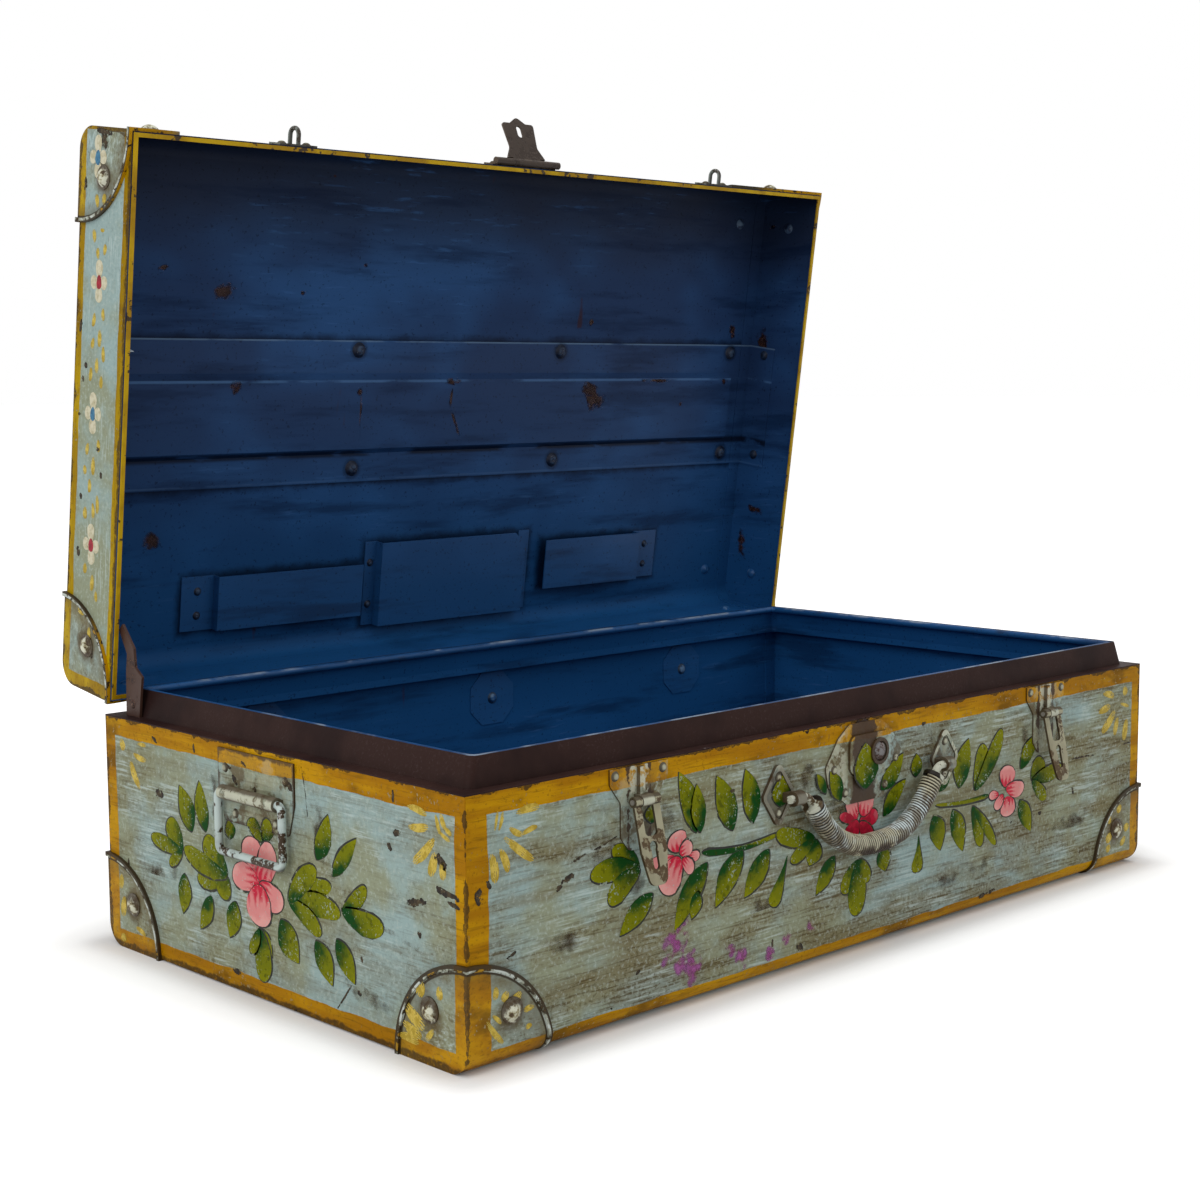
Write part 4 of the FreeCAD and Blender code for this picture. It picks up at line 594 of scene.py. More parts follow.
flat_half, bend_radius, bend, straight = 0.006, 0.060, math.radians(53.13), 0.0110
grip_low, grip_depth = 0.073, -0.1905
coil_radius, strand_radius, turns, steps = 0.0060, 0.00092, 69, 14
half_length = flat_half + bend_radius * bend + straight


def grip_line(along):
    """Across, height and slope on the grip's middle line, from its left collar to its right."""
    side, run = math.copysign(1, along), abs(along)
    if run <= flat_half:
        return side * run, grip_low, 0.0
    run -= flat_half
    if run <= bend_radius * bend:
        angle = run / bend_radius
        return side * (flat_half + bend_radius * math.sin(angle)), \
            grip_low + bend_radius * (1 - math.cos(angle)), side * angle
    run -= bend_radius * bend
    return side * (flat_half + bend_radius * math.sin(bend) + run * math.cos(bend)), \
        grip_low + bend_radius * (1 - math.cos(bend)) + run * math.sin(bend), side * bend


seed = random.Random(7)
turn_shift = [seed.uniform(-0.00010, 0.00010) for turn in range(turns + 2)]
turn_swell = [seed.uniform(-0.00006, 0.00010) for turn in range(turns + 2)]
wire = bpy.data.curves.new("handle_winding_wire", "CURVE")
wire.dimensions = "3D"
line = wire.splines.new("POLY")
line.points.add(turns * steps)
for i in range(turns * steps + 1):
    turn, part = divmod(i, steps)
    share = part / steps
    along = (i / (turns * steps) * 2 - 1) * (half_length - strand_radius)
    along += turn_shift[turn] * (1 - share) + turn_shift[turn + 1] * share
    x, z, heading = grip_line(along)
    reach = coil_radius + turn_swell[turn] * (1 - share) + turn_swell[turn + 1] * share
    angle = share * math.tau
    out = reach * math.cos(angle)
    line.points[i].co = (x - out * math.sin(heading), grip_depth + reach * math.sin(angle),
                         z + out * math.cos(heading), 1)
wire.bevel_depth = strand_radius
wire.bevel_resolution = 1
wire.use_fill_caps = True
coil = bpy.data.objects.new("coil", wire)
bpy.context.scene.collection.objects.link(coil)
bpy.context.view_layer.update()
winding = bpy.data.objects.new("handle_wire_turns", bpy.data.meshes.new_from_object(
    coil.evaluated_get(bpy.context.evaluated_depsgraph_get())))
bpy.data.objects.remove(coil)
winding.data.name = "handle_wire_turns"
bm = bmesh.new()
bm.from_mesh(winding.data)
bmesh.ops.remove_doubles(bm, verts=bm.verts, dist=0.000001)
bmesh.ops.recalc_face_normals(bm, faces=bm.faces)
for face in bm.faces:
    face.smooth = True
bm.to_mesh(winding.data)
bm.free()
bpy.context.scene.collection.objects.link(winding)

middle = [Vector((x, grip_depth, z))
          for x, z, heading in (grip_line(half_length * s / 60) for s in range(-60, 61))]
crest = winding.data.attributes.new("crest", "FLOAT", "POINT")
for vert, level in zip(winding.data.vertices, crest.data):
    nearest = min((place - vert.co).length for place in middle)
    level.value = (nearest - coil_radius) / strand_radius

made, start = new_tree("wound_wire")
spot, facing = own_place(start)[:2]
x, z = spot.parts()[::2]
cloud = mottle(spot, 34, 60)
rubs = mottle(spot, 140, 61)
colour = start.between(shade(182, 178, 154), shade(200, 212, 212), cloud.rise(0.44, 0.56))
colour = colour.toward(shade(104, 90, 58), (rubs + (cloud - 0.5) * 0.6).rise(0.5, 0.62) * 0.7)
# Painted shade between the turns: each strand darkens on the side that faces the bar.
level = start.add("ShaderNodeAttribute", {"attribute_name": "crest"}, None, "Fac")
colour = colour.toward(shade(30, 24, 16), level.rise(0.95, 0.4) * 0.95)
# Painted shade: brown patches on the faces that look down, darker still where the middle of the grip is
# rubbed bare.
low = facing.parts()[2].rise(0.35, -0.35)
colour = colour.toward(shade(76, 58, 34), low * rubs.rise(0.36, 0.46) * 0.75)
under = (0.0735 - z).rise(-0.006, 0.004) * x.size().rise(0.036, 0.014)
colour = colour.toward(shade(44, 32, 28), under * low * rubs.rise(0.42, 0.5) * 0.9)
coat(start, colour, rubs * 0.2 + 0.36, rubs, 0.0002)
winding.data.materials.clear()
winding.data.materials.append(made)
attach(winding, "handle")
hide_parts("handle_winding")


# Handle bar. The bent steel rod inside the winding, painted near black where the wire
# covers it, as painted shade between the turns, and painted over at the two bare eyes
# that hang in the diamond plates.

made, start = new_tree("handle_bar")
spot = own_place(start)[0]
x = spot.parts()[0]
covered, bare = 0.0592, 0.0600
rubs = mottle(spot, 150, 62, 5)
colour = start.between(shade(186, 188, 172), shade(78, 64, 44), rubs.rise(0.5, 0.58))
# Painted shade: the rod is near black wherever the winding covers it.
colour = colour.toward(shade(28, 22, 16), x.size().rise(bare, covered))
coat(start, colour, rubs * 0.25 + 0.34, rubs, 0.0002)
dress(made, "handle_core")


# Painted flowers of the base. A folk spray of three blossoms along the front and one on
# each end, with yellow dashes in the corners: brush marks that lie as thin paint. Each
# mark below is root and tip, in millimetres across and up its wall, and then its width.

front_leaves = (
    (-154.6, 103.7, -169.4, 141.2, 14.7), (-151.3, 103.2, -154.5, 132, 11.9),
    (-123.1, 99.9, -137.3, 134.3, 16.6), (-104.9, 101.3, -112.2, 134.8, 15.4),
    (-191.7, 74.3, -217.9, 54.8, 13.3), (-145.9, 84, -173.5, 48.7, 16.1),
    (-153.8, 68.3, -159.5, 52.8, 9.8), (-114.6, 86, -138.6, 55.9, 16.6),
    (-91.2, 82.5, -113.3, 56.9, 15.2), (-46.2, 80.8, -53.4, 65.7, 16.2),
    (-28.4, 67.4, -46.8, 45.9, 12.8), (20.9, 85, 44.1, 105.5, 12.2), (54.8, 106.1, 55.4, 120.9, 11.7),
    (18.7, 63.6, 23.2, 48.5, 14.1), (74.3, 76.4, 82.2, 52, 16.6), (95.6, 77, 107.6, 47, 15.6),
    (80.4, 92.3, 91.1, 108.7, 13.6), (102.7, 91.2, 113.3, 123.2, 18.8), (175.2, 93.7, 197.1, 116, 13),
    (174, 71.3, 188.8, 47.5, 13.7),)
front_lobes = (
    (-202, 90.6, -223, 105.9, 11.6), (-202, 90.6, -240.1, 93.2, 14.2), (-202, 90.6, -226.3, 74.8, 14.8),
    (-48.1, 82.4, -84.2, 90.8, 12.8), (-48.1, 82.4, -70.7, 71.2, 9.8), (-4.3, 60.5, -20.7, 42, 13.1),
    (-4.3, 60.5, -7.2, 24.8, 18.7), (-4.3, 60.5, 6.1, 45.1, 11.1), (121.7, 86.8, 130.7, 117.3, 16),
    (121.7, 86.8, 152.1, 124.6, 14.1), (189.6, 83.1, 203.5, 96.5, 18.4),
    (189.6, 83.1, 227.2, 87.6, 12.2), (189.6, 83.1, 207.4, 67.8, 10.4),
    (118.4, 75.7, 128.9, 46.8, 11.8), (118.4, 75.7, 146.1, 44.9, 8.6),)
front_drops = (
    (-73.8, 75.7, -87.9, 46.3, 17.5), (58.2, 65.6, 56, 41.5, 18.2),)
front_stems = (
    (-150, 90.4, -81, 90.6, 3.2), (137.5, 81, 76.9, 83.5, 2.6),)
front_petals = (
    (-169.1, 94.9, -172.2, 106.7, 16.2), (-169.1, 93.7, -158.6, 96.5, 9.8),
    (-171.5, 90.8, -195, 90.5, 10.1), (-169.9, 91.6, -181.8, 71.8, 19.6),
    (-166.7, 89.9, -158.6, 80.6, 8.3), (-161.1, 91, -152.5, 89.5, 6.3),
    (-7.1, 87.4, -14.8, 103.5, 11.8), (-0.4, 88.4, 4.4, 104.3, 16.1), (157.8, 83.5, 160.2, 98.3, 18.7),
    (157.9, 82.4, 179.3, 80.3, 11.9), (159.9, 76.7, 160.3, 62.6, 18.4), (148.8, 79.5, 137.9, 80.1, 6.4),
    (154.3, 78.6, 144.5, 70.5, 8.3),)
front_crimson = (
    (-3.7, 84.7, 14.9, 87, 11.2), (-7.1, 85.2, -23.7, 92.2, 6.8), (-5.4, 86, -17, 75.1, 14),
    (-3.7, 84.7, 10, 70.5, 10.6),)
# Brown washes round the fittings and along the walls: dirt, and painted shade where the fittings stand
# out from the wall.
front_grime_and_shade = (
    (-229, 134, -231, 84, 26), (-178, 130, -186, 98, 20), (-196, 84, -214, 80, 16),
    (214, 132, 226, 98, 26), (178, 128, 182, 104, 14), (-84, 96, -62, 84, 16), (-66, 128, -44, 116, 18),
    (-78, 134, -74, 96, 30), (70, 134, 78, 98, 30), (-40, 104, -12, 92, 20), (12, 96, 38, 100, 18),
    (-14, 66, 24, 64, 16), (-34, 140, -22, 104, 14), (30, 140, 24, 110, 14), (-290, 62, -240, 58, 16),
    (-120, 48, -70, 52, 14), (60, 30, 150, 34, 16), (200, 44, 280, 48, 16),)
left_grime_and_shade = (
    (-56, 142, 50, 144, 12), (-52, 136, -50, 96, 18), (46, 140, 56, 92, 22), (-40, 86, 36, 82, 12),
    (-20, 104, 16, 104, 20), (70, 30, 120, 22, 14), (148, 60, 60, 76, 7), (60, 76, 14, 84.5, 5),
    (-150, 56, -90, 60, 12),)
front_dashes = (
    (-309.6, 130.2, -307.4, 140.4, 1.9), (-306.7, 129.8, -303.8, 139.5, 2.3),
    (-294.4, 137.2, -277.8, 138.3, 4.6), (-299.4, 130.1, -289.8, 124.6, 3.5),
    (-290.8, 124.8, -279.5, 127.8, 3.2), (-303.1, 125.5, -282.3, 109.5, 5),
    (-306.2, 119.9, -300.5, 106.3, 4.9), (-312.3, 118.1, -309.6, 102, 6), (280, 134.7, 294.8, 131, 5.2),
    (308.9, 136.8, 310.4, 130.1, 6.2), (303.7, 124.7, 315.6, 121.2, 2.6),
    (274.2, 121.4, 289.9, 124.5, 5.5), (296.6, 120.2, 279.2, 105.9, 7.1),
    (300.6, 114.7, 296.4, 101.7, 5.5), (312.9, 112.2, 309.4, 96.3, 6.4),)
front_guard_dashes = (
    (-311, 46.1, -311.7, 39.1, 4), (-302.4, 41.8, -306.5, 37.1, 4.8), (-293.3, 39.6, -300.5, 33.4, 5.5),
    (-284.1, 29.6, -291.4, 28.7, 3.5), (-313.6, 31.1, -307.7, 25.4, 2.5),
    (-317.7, 28.8, -306.3, 14.3, 3.5), (-285.7, 19.8, -290.2, 18.8, 3), (306.4, 47.7, 300.9, 42.9, 5.3),
    (291.4, 42, 287.9, 36.9, 7.2), (317.6, 31.4, 311.1, 27.9, 5.9), (293.5, 34.6, 307.6, 28.5, 3.7),
    (294.1, 27.9, 286.4, 23, 6.7), (313.1, 22.8, 306.3, 17.2, 4.9), (292.4, 19.6, 286.7, 15.9, 5.2),)
lock_leaf = (
    (-1.5, 106.9, -1.9, 136.3, 23.5),)
lock_wings = (
    (-23.9, 102.8, -34.7, 122.3, 11.8), (-38.6, 109.3, -47.5, 122.6, 6.6),
    (16.3, 103.1, 39.4, 123.7, 13.4),)
plate_leaves = (
    (-81.8, 107.6, -79.6, 126.8, 17.1), (-193.4, 115.7, -191.8, 126.5, 11),)
left_leaves = (
    (-80.6, 90.5, -93.5, 117.6, 17.2), (-64.8, 93, -71, 123.5, 14.3), (-91.1, 62, -93.8, 36.5, 14.3),
    (-60.6, 53.5, -74.3, 30.5, 12), (-34.5, 54.9, -41.7, 31.8, 15.1), (-8.4, 42.9, 2.5, 28.1, 10.8),
    (12.2, 52.9, 29.5, 30.5, 19.5), (46.7, 47.3, 62, 24.3, 15.5), (67, 52.3, 83.3, 29.9, 14.8),
    (49.9, 95.5, 61.6, 123, 13.8), (64.4, 88.3, 87.4, 113.5, 10.6), (-37.2, 93.2, -40.3, 103.9, 11),)
left_lobes = (
    (-92.6, 76, -107.8, 94.1, 17.1), (-92.6, 76, -128.6, 79.9, 10.9), (-92.6, 76, -107.8, 65.3, 7.8),
    (-42.9, 68.9, -66.5, 89.3, 19.5), (-42.9, 68.9, -90.2, 78.2, 14.1),
    (-42.9, 68.9, -75.8, 62.1, 13.7), (-42.9, 68.9, -51.2, 55.6, 16.2), (-9.9, 43.4, -6.9, 11.5, 18),
    (-9.9, 42.6, -20, 26.7, 8.7), (21.2, 65.5, 48.3, 90, 14.8), (21.2, 65.5, 62.8, 82.4, 12.1),
    (21.2, 65.5, 71, 67.7, 14.9), (21.2, 65.5, 52.3, 52.1, 12.8), (72.9, 69.7, 95.5, 87.3, 10.5),
    (72.9, 69.7, 110.5, 66.8, 15.3), (-3.1, 97.7, -17.2, 107.6, 12.4), (-3.1, 97.7, 4.7, 111.1, 11.3),)
left_petals = (
    (-8.7, 70, -20.6, 96.9, 22.7), (-8.7, 70, 4.1, 96.7, 19.3), (-8.7, 70, -36.7, 71.8, 17.9),
    (-8.7, 70, 15.4, 61.9, 17), (-8.7, 70, -8.3, 44.9, 25.9),)
left_dashes = (
    (-162.6, 137.9, -158.5, 131.1, 6.2), (-147.5, 130.3, -132.4, 127.7, 4),
    (-140.4, 108.4, -151.3, 124.7, 6), (-142, 137.2, -131.8, 137.3, 2.6),
    (133.2, 139.3, 149.8, 136.9, 4.1), (133.9, 128.3, 150.9, 130.7, 4.8), (156, 125.2, 137.6, 109.1, 6),
    (156.5, 117.8, 151.6, 104.3, 6.5), (162.3, 114.1, 162.3, 103.9, 5.5),
    (157, 138.4, 160.6, 128.4, 2.9), (159.8, 129.8, 168.8, 125.8, 2.4),
    (161.3, 139.6, 164.8, 131.8, 3.7), (163.9, 132.8, 170.1, 129.3, 2.9),)
left_guard_dashes = (
    (-164.8, 48.8, -167.2, 39, 5.5), (-162.2, 34.4, -164.9, 20.8, 6.5),
    (-149.5, 16.4, -137.7, 13.2, 3.5), (-165.6, 9.4, -164.2, 4, 6.1), (145.5, 45.3, 141.6, 36.7, 7.3),
    (159, 45.8, 159.3, 38.3, 5.4), (128.6, 30.5, 146.3, 19.5, 8.3), (127.8, 19.3, 143.7, 14.1, 6.4),
    (123.8, 11.1, 141.2, 10.3, 5), (154.1, 20.8, 147.6, 13.8, 3.6),)
front_chips = (
    (-263, 93, -251.5, 97, 3.8), (-266, 90, -262, 92, 3), (-87.6, 26, -87.2, 20, 1.4),
    (-64, 17.5, -59.5, 13.5, 4.4), (-125.5, 124, -122, 123, 2.2), (-254.5, 103.3, -243, 106.6, 1.2),
    (-238, 107, -219.3, 112.3, 1.1), (198, 58.8, 203, 58, 2.2), (241, 71, 242.5, 66, 1.7),
    (128, 10.8, 134, 12, 2.7), (139.5, 12, 146, 13.2, 2.7), (135.6, 11.8, 138.4, 12.3, 1.9),
    (238, 92, 270, 90.6, 1), (307.8, 93.5, 321.7, 93.4, 1), (-322, 101, -320, 92, 5.1),
    (-316, 104, -313, 100, 2.5), (60, 139.6, 66, 140.6, 1.7), (-300, 60, -296, 62, 1.7),
    (20, 52, 24, 53, 1.9), (84, 32, 87, 32.6, 1.7), (-205, 30, -202, 31, 1.5),)
lock_seat = (
    (-1.5, 152.5, -1, 137, 27),)
left_chips = (
    (-123, 109.5, -113, 108, 4.8), (121, 122.5, 127, 123.7, 3.6), (115, 117, 119, 112, 3.2),
    (156, 117.5, 167, 110, 4.8), (132, 85.5, 148, 89.5, 4.8), (155, 99, 177, 96, 4),
    (165, 93, 176, 91, 2.4), (141.5, 73, 142.5, 68.5, 3.2), (89.8, 47.5, 91, 43, 2.4),
    (86, 27, 89, 25, 2.4), (-39, 12, -31, 11, 3.2), (121, 146, 121, 139, 1.6),
    (-124, 144, -119, 141, 2), (-77, 147, -75.5, 140, 1.4), (-42, 139, -34, 136.5, 2.4),
    (24, 136, 29, 132, 4), (36.8, 147, 41.8, 117, 0.9), (82, 30.5, 65.6, 11.2, 0.8),
    (-12, 128, -8, 127, 2.8), (-32, 133, -28, 127, 2.8), (-158, 60, -157, 56, 1.6),)
front_smears = (
    (-163, 56, -182, 27, 25), (-158, 36, -157, 11, 19), (-172, 34, -166, 20, 14),
    (-116, 29, -116, 12, 13), (-90, 23, -90, 11, 10), (-79, 29, -69, 20, 12), (-55, 30, -46, 24, 10),
    (-130, 30, -120, 24, 9),)


plate_thick, guard_thick, lock_thick = 0.0012, 0.00105, 0.0031
plate_near, plate_far, plate_foot = 0.030, -0.048, 0.104


def front_wall(across, high, proud):
    return Vector((across, -half_deep - proud, high))


def left_wall(across, high, proud):
    over_plate = plate_far < across < plate_near and high > plate_foot
    return Vector((-half_long - proud - (plate_thick if over_plate else 0), -across, high))


def right_wall(across, high, proud):
    place = left_wall(across, high, proud)
    return Vector((-place.x, place.y, place.z))


breadths = {
    "leaf": lambda s: math.sin(math.pi * s ** 0.85) ** 0.85,
    "lobe": lambda s: math.sqrt(max(1 - (2 * s - 1) ** 2, 0)) * (0.72 + 0.4 * s),
    "petal": lambda s: math.sqrt(max(1 - (2 * s - 1) ** 2, 0)) * (0.78 + 0.34 * s),
    "drop": lambda s: math.sqrt(max(1 - (2 * s - 1) ** 2, 0)) * (0.12 + 1.05 * s * s),
    "dash": lambda s: math.sqrt(max(1 - (2 * s - 1) ** 4, 0)) * (1.1 - 0.35 * s),
    "stem": lambda s: min(12 * s, 12 * (1 - s), 1) ** 0.5 * (1.2 - 0.4 * s),
    "brush": lambda s: max(1 - (2 * s - 1) ** 2, 0) ** 0.42 * (0.86 + 0.28 * s)}
plate_step = (0.1038, 0.1042)
folds = {left_wall: plate_step, right_wall: plate_step}
film_foot, film_skin, film_lift = 0.00002, 0.00004, 0.000012
brush = random.Random(3)


def mark_film(bm, wall, mark, kind, level, proud, grow, aside):
    """One brush mark: a thin closed film whose map runs along it and across it.

    It is cut across at the heights where its wall steps out to a plate."""
    root, tip, wide = Vector(mark[:2]) / 1000, Vector(mark[2:4]) / 1000, mark[4] / 1000 + 2 * grow
    heading = (tip - root).normalized()
    sideways = Vector((-heading.y, heading.x))
    length = (tip - root).length + 2 * grow
    root = root - heading * grow + sideways * aside
    bow = length * 0.05 * math.sin(mark[0] * 1.7 + mark[1])
    laid = bmesh.ops.create_circle(bm, cap_ends=True, segments=26, radius=1)["verts"]
    for vert in laid:
        share, side = (1 + vert.co.x) / 2, math.copysign(1, vert.co.y)
        edge = breadths[kind](share) * (1 + brush.uniform(-0.05, 0.05)) if abs(vert.co.y) > 0.001 else 0
        vert.co = (share * length, side * edge * wide / 2 + bow * math.sin(math.pi * share), 0)
    faces = list(laid[0].link_faces)
    for fold in folds.get(wall, ()):
        edges = {edge for face in faces for edge in face.edges}
        cut = bmesh.ops.bisect_plane(
            bm, geom=[*laid, *edges, *faces], plane_no=(heading.y, sideways.y, 0),
            plane_co=Vector((heading.y, sideways.y, 0)) * (fold - root.y))["geom"]
        laid = [item for item in cut if isinstance(item, bmesh.types.BMVert)]
        faces = [item for item in cut if isinstance(item, bmesh.types.BMFace)]
    raised = bmesh.ops.extrude_face_region(bm, geom=faces)["geom"]
    raised = [item for item in raised if isinstance(item, bmesh.types.BMVert)]
    film = set(raised) | set(laid)
    layer = bm.loops.layers.uv.verify()
    for vert in film:
        for loop in vert.link_loops:
            loop[layer].uv = (vert.co.x / length, vert.co.y / wide + 0.5)
    for vert in film:
        place = root + heading * vert.co.x + sideways * vert.co.y
        height = film_foot + (film_skin + level * film_lift if vert in raised else 0)
        vert.co = wall(place.x, place.y, proud + height)


def paint_piece(name, material, marks, body="base"):
    """The marks of one colour as a piece.

    A row is wall, marks, kind, how proud it starts, first level, and what it grows and shifts."""
    bm = bmesh.new()
    for wall, group, kind, proud, level, grow, aside in marks:
        for i, mark in enumerate(group):
            mark_film(bm, wall, mark, kind, level + 2 * (i % 5), proud, grow, aside)
    bmesh.ops.recalc_face_normals(bm, faces=bm.faces)
    mesh = bpy.data.meshes.new(name)
    bm.to_mesh(mesh)
    bm.free()
    mesh.materials.append(material)
    piece = bpy.data.objects.new(name, mesh)
    bpy.context.scene.collection.objects.link(piece)
    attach(piece, body)


def along_mark(start):
    """Place, and how far along and across its mark."""
    coords = start.add("ShaderNodeTexCoord").socket.node.outputs
    return [Wire(start.tree, coords["Object"])] + Wire(start.tree, coords["UV"]).parts()[:2]


leaf_green, start = new_tree("leaf_green")
spot, along, across = along_mark(start)
cloud = mottle(spot, 75, 70)
hairs = mottle(spot, 260, 71)
specks = mottle(spot, 620, 72, 2)
deep = (along + (cloud - 0.5) * 1.3 + (across - 0.5) * 0.6 + (hairs - 0.5) * 0.5).rise(0.62, 0.08)
colour = start.between(shade(110, 114, 0), shade(12, 62, 18), deep)
colour = colour.toward(shade(138, 138, 4), (along + (hairs - 0.5)).rise(0.66, 0.96) * 0.5)
colour = colour.toward(shade(46, 54, 2), hairs.rise(0.52, 0.66) * 0.6)
colour = colour.toward(shade(150, 164, 150), (specks + (cloud - 0.5) * 0.5).rise(0.65, 0.69) * 0.75)
coat(start, colour, hairs * 0.2 + 0.4, hairs, 0.00006, Specular_IOR_Level=0.05)

outline_black, start = new_tree("outline_black")
spot = along_mark(start)[0]
thin = mottle(spot, 130, 73)
colour = start.between(shade(20, 20, 16), shade(56, 56, 40), thin.rise(0.45, 0.62))
coat(start, colour, thin * 0.2 + 0.4, thin, 0.00004, Alpha=thin.rise(0.64, 0.58))

petal_pink, start = new_tree("petal_pink")
spot, along, across = along_mark(start)
cloud = mottle(spot, 90, 74)
specks = mottle(spot, 620, 75, 2)
strokes = across * 26 + (cloud - 0.5) * 9
strokes = strokes.maths("SINE", strokes)
heart = (along + (cloud - 0.5) * 0.5 - strokes * 0.14).rise(0.5, 0.12)
colour = start.between(shade(212, 132, 130), shade(190, 30, 58), heart)
colour = colour.toward(shade(226, 168, 160), (along + (cloud - 0.5)).rise(0.68, 0.98) * 0.6)
colour = colour.toward(shade(176, 180, 170), specks.rise(0.64, 0.68) * 0.8)
coat(start, colour, cloud * 0.2 + 0.4, cloud, 0.00006, Specular_IOR_Level=0.1)

dash_yellow, start = new_tree("dash_yellow")
spot, along, across = along_mark(start)
hairs = mottle(spot, 240, 76)
combed = across * 30 + hairs * 9
combed = combed.maths("SINE", combed) * (along - 0.5).size()
colour = start.between(shade(206, 180, 80), shade(168, 142, 44), hairs.rise(0.42, 0.62))
coat(start, colour, hairs * 0.2 + 0.4, hairs, 0.00005,
     Alpha=(hairs - (along - 0.5).size() * 0.35 - combed * 0.4 + 0.16).rise(0.36, 0.56) * 0.95)


def blot(name, first, other, torn, hard, shift, scale=200):
    """A patch that thins out unevenly from its middle: a chip, a stain or a smear."""
    made, start = new_tree(name)
    spot, along, across = along_mark(start)
    ragged = mottle(spot, scale, shift, 5)
    along, across = along * 2 - 1, across * 2 - 1
    reach = along * along + across * across
    colour = start.between(shade(*first), shade(*other), ragged.rise(0.4, 0.62))
    coat(start, colour, ragged * 0.2 + 0.5, ragged, 0.00006,
         Alpha=((ragged - 0.5) * torn + 1 - reach).rise(0.25, 0.25 + hard))
    return made


chip_dark = blot("chip_dark", (74, 62, 42), (30, 24, 18), 4.5, 0.25, 77, 320)
seat_brown = blot("seat_brown", (66, 48, 38), (44, 32, 26), 2, 0.25, 84, 90)
smear_magenta = blot("smear_magenta", (160, 48, 126), (152, 92, 144), 5, 1.5, 78, 150)
# Soft brown washes: dirt, and painted shade beside the fittings.
grime_and_shade_brown = blot("grime_and_shade_brown", (104, 86, 50), (66, 50, 28), 3.5, 2.6, 85, 90)

crimson_paint, start = new_tree("crimson_paint")
spot, along = along_mark(start)[:2]
hairs = mottle(spot, 240, 86)
colour = start.between(shade(184, 28, 56), shade(150, 20, 44), hairs.rise(0.42, 0.6))
colour = colour.toward(shade(206, 96, 108), (along + (hairs - 0.5)).rise(0.72, 1.0) * 0.6)
coat(start, colour, hairs * 0.2 + 0.4, hairs, 0.00006, Specular_IOR_Level=0.1)

line_wide = 0.0008
leaf_line, petal_line = (line_wide, line_wide * 0.7), (line_wide, line_wide * 0.5)
front_plate = plate_thick + 0.0001


def greens(groups, first, grow=0, aside=0):
    """The groups of leaves, each a little higher than the last."""
    return [(*group, first + i * 0.3, grow, aside) for i, group in enumerate(groups)]


front_green = ((front_wall, front_leaves, "leaf", 0), (front_wall, front_lobes, "lobe", 0),
               (front_wall, front_drops, "drop", 0), (front_wall, front_stems, "stem", 0),
               (front_wall, lock_leaf, "leaf", lock_thick),
               (front_wall, lock_wings, "leaf", front_plate),
               (front_wall, plate_leaves, "leaf", front_plate))
for name, finish, rows in (
        ("front_grime_and_shade_wash", grime_and_shade_brown, [(front_wall, front_grime_and_shade, "lobe", 0, -2, 0, 0)]),
        ("front_smear_paint", smear_magenta, [(front_wall, front_smears, "lobe", 0, -2, 0, 0)]),
        ("front_leaf_lines", outline_black, greens(front_green, 0, *leaf_line)),
        ("front_leaf_paint", leaf_green, greens(front_green, 2)),
        ("front_petal_lines", outline_black, [
            (front_wall, front_petals, "petal", 0, 12, *petal_line),
            (front_wall, front_crimson, "petal", 0, 12.4, *petal_line)]),
        ("front_petal_paint", petal_pink, [(front_wall, front_petals, "petal", 0, 13, 0, 0)]),
        ("front_crimson_paint", crimson_paint, [(front_wall, front_crimson, "petal", 0, 13.4, 0, 0)]),
        ("front_dash_paint", dash_yellow, [
            (front_wall, front_dashes, "brush", 0, 1, 0, 0),
            (front_wall, front_guard_dashes, "brush", guard_thick, 1, 0, 0)]),
        ("front_chip_marks", chip_dark, [(front_wall, front_chips, "dash", 0, 1, 0.0005, 0)]),
        ("lock_seat_paint", seat_brown, [(front_wall, lock_seat, "dash", 0, 1, 0, 0)])):
    paint_piece(name, finish, rows)

for end, wall in (("left", left_wall), ("right", right_wall)):
    green = ((wall, left_leaves, "leaf", 0), (wall, left_lobes, "lobe", 0))
    for name, finish, rows in (
            ("_grime_and_shade_wash", grime_and_shade_brown, [(wall, left_grime_and_shade, "lobe", 0, -2, 0, 0)]),
            ("_leaf_lines", outline_black, greens(green, 0, *leaf_line)),
            ("_leaf_paint", leaf_green, greens(green, 2)),
            ("_petal_lines", outline_black, [(wall, left_petals, "petal", 0, 12, *petal_line)]),
            ("_petal_paint", petal_pink, [(wall, left_petals, "petal", 0, 13, 0, 0)]),
            ("_dash_paint", dash_yellow, [
                (wall, left_dashes, "brush", 0, 1, 0, 0),
                (wall, left_guard_dashes, "brush", guard_thick, 1, 0, 0)]),
            ("_chip_marks", chip_dark, [(wall, left_chips, "dash", 0, 1, 0.0005, 0)])):
        paint_piece(end + name, finish, rows)


# Lid shell. Made as the base is, pale outside with ochre bands along its edges and rim,
# navy inside; its own paint is laid out as it is shut, then stands with the lid.

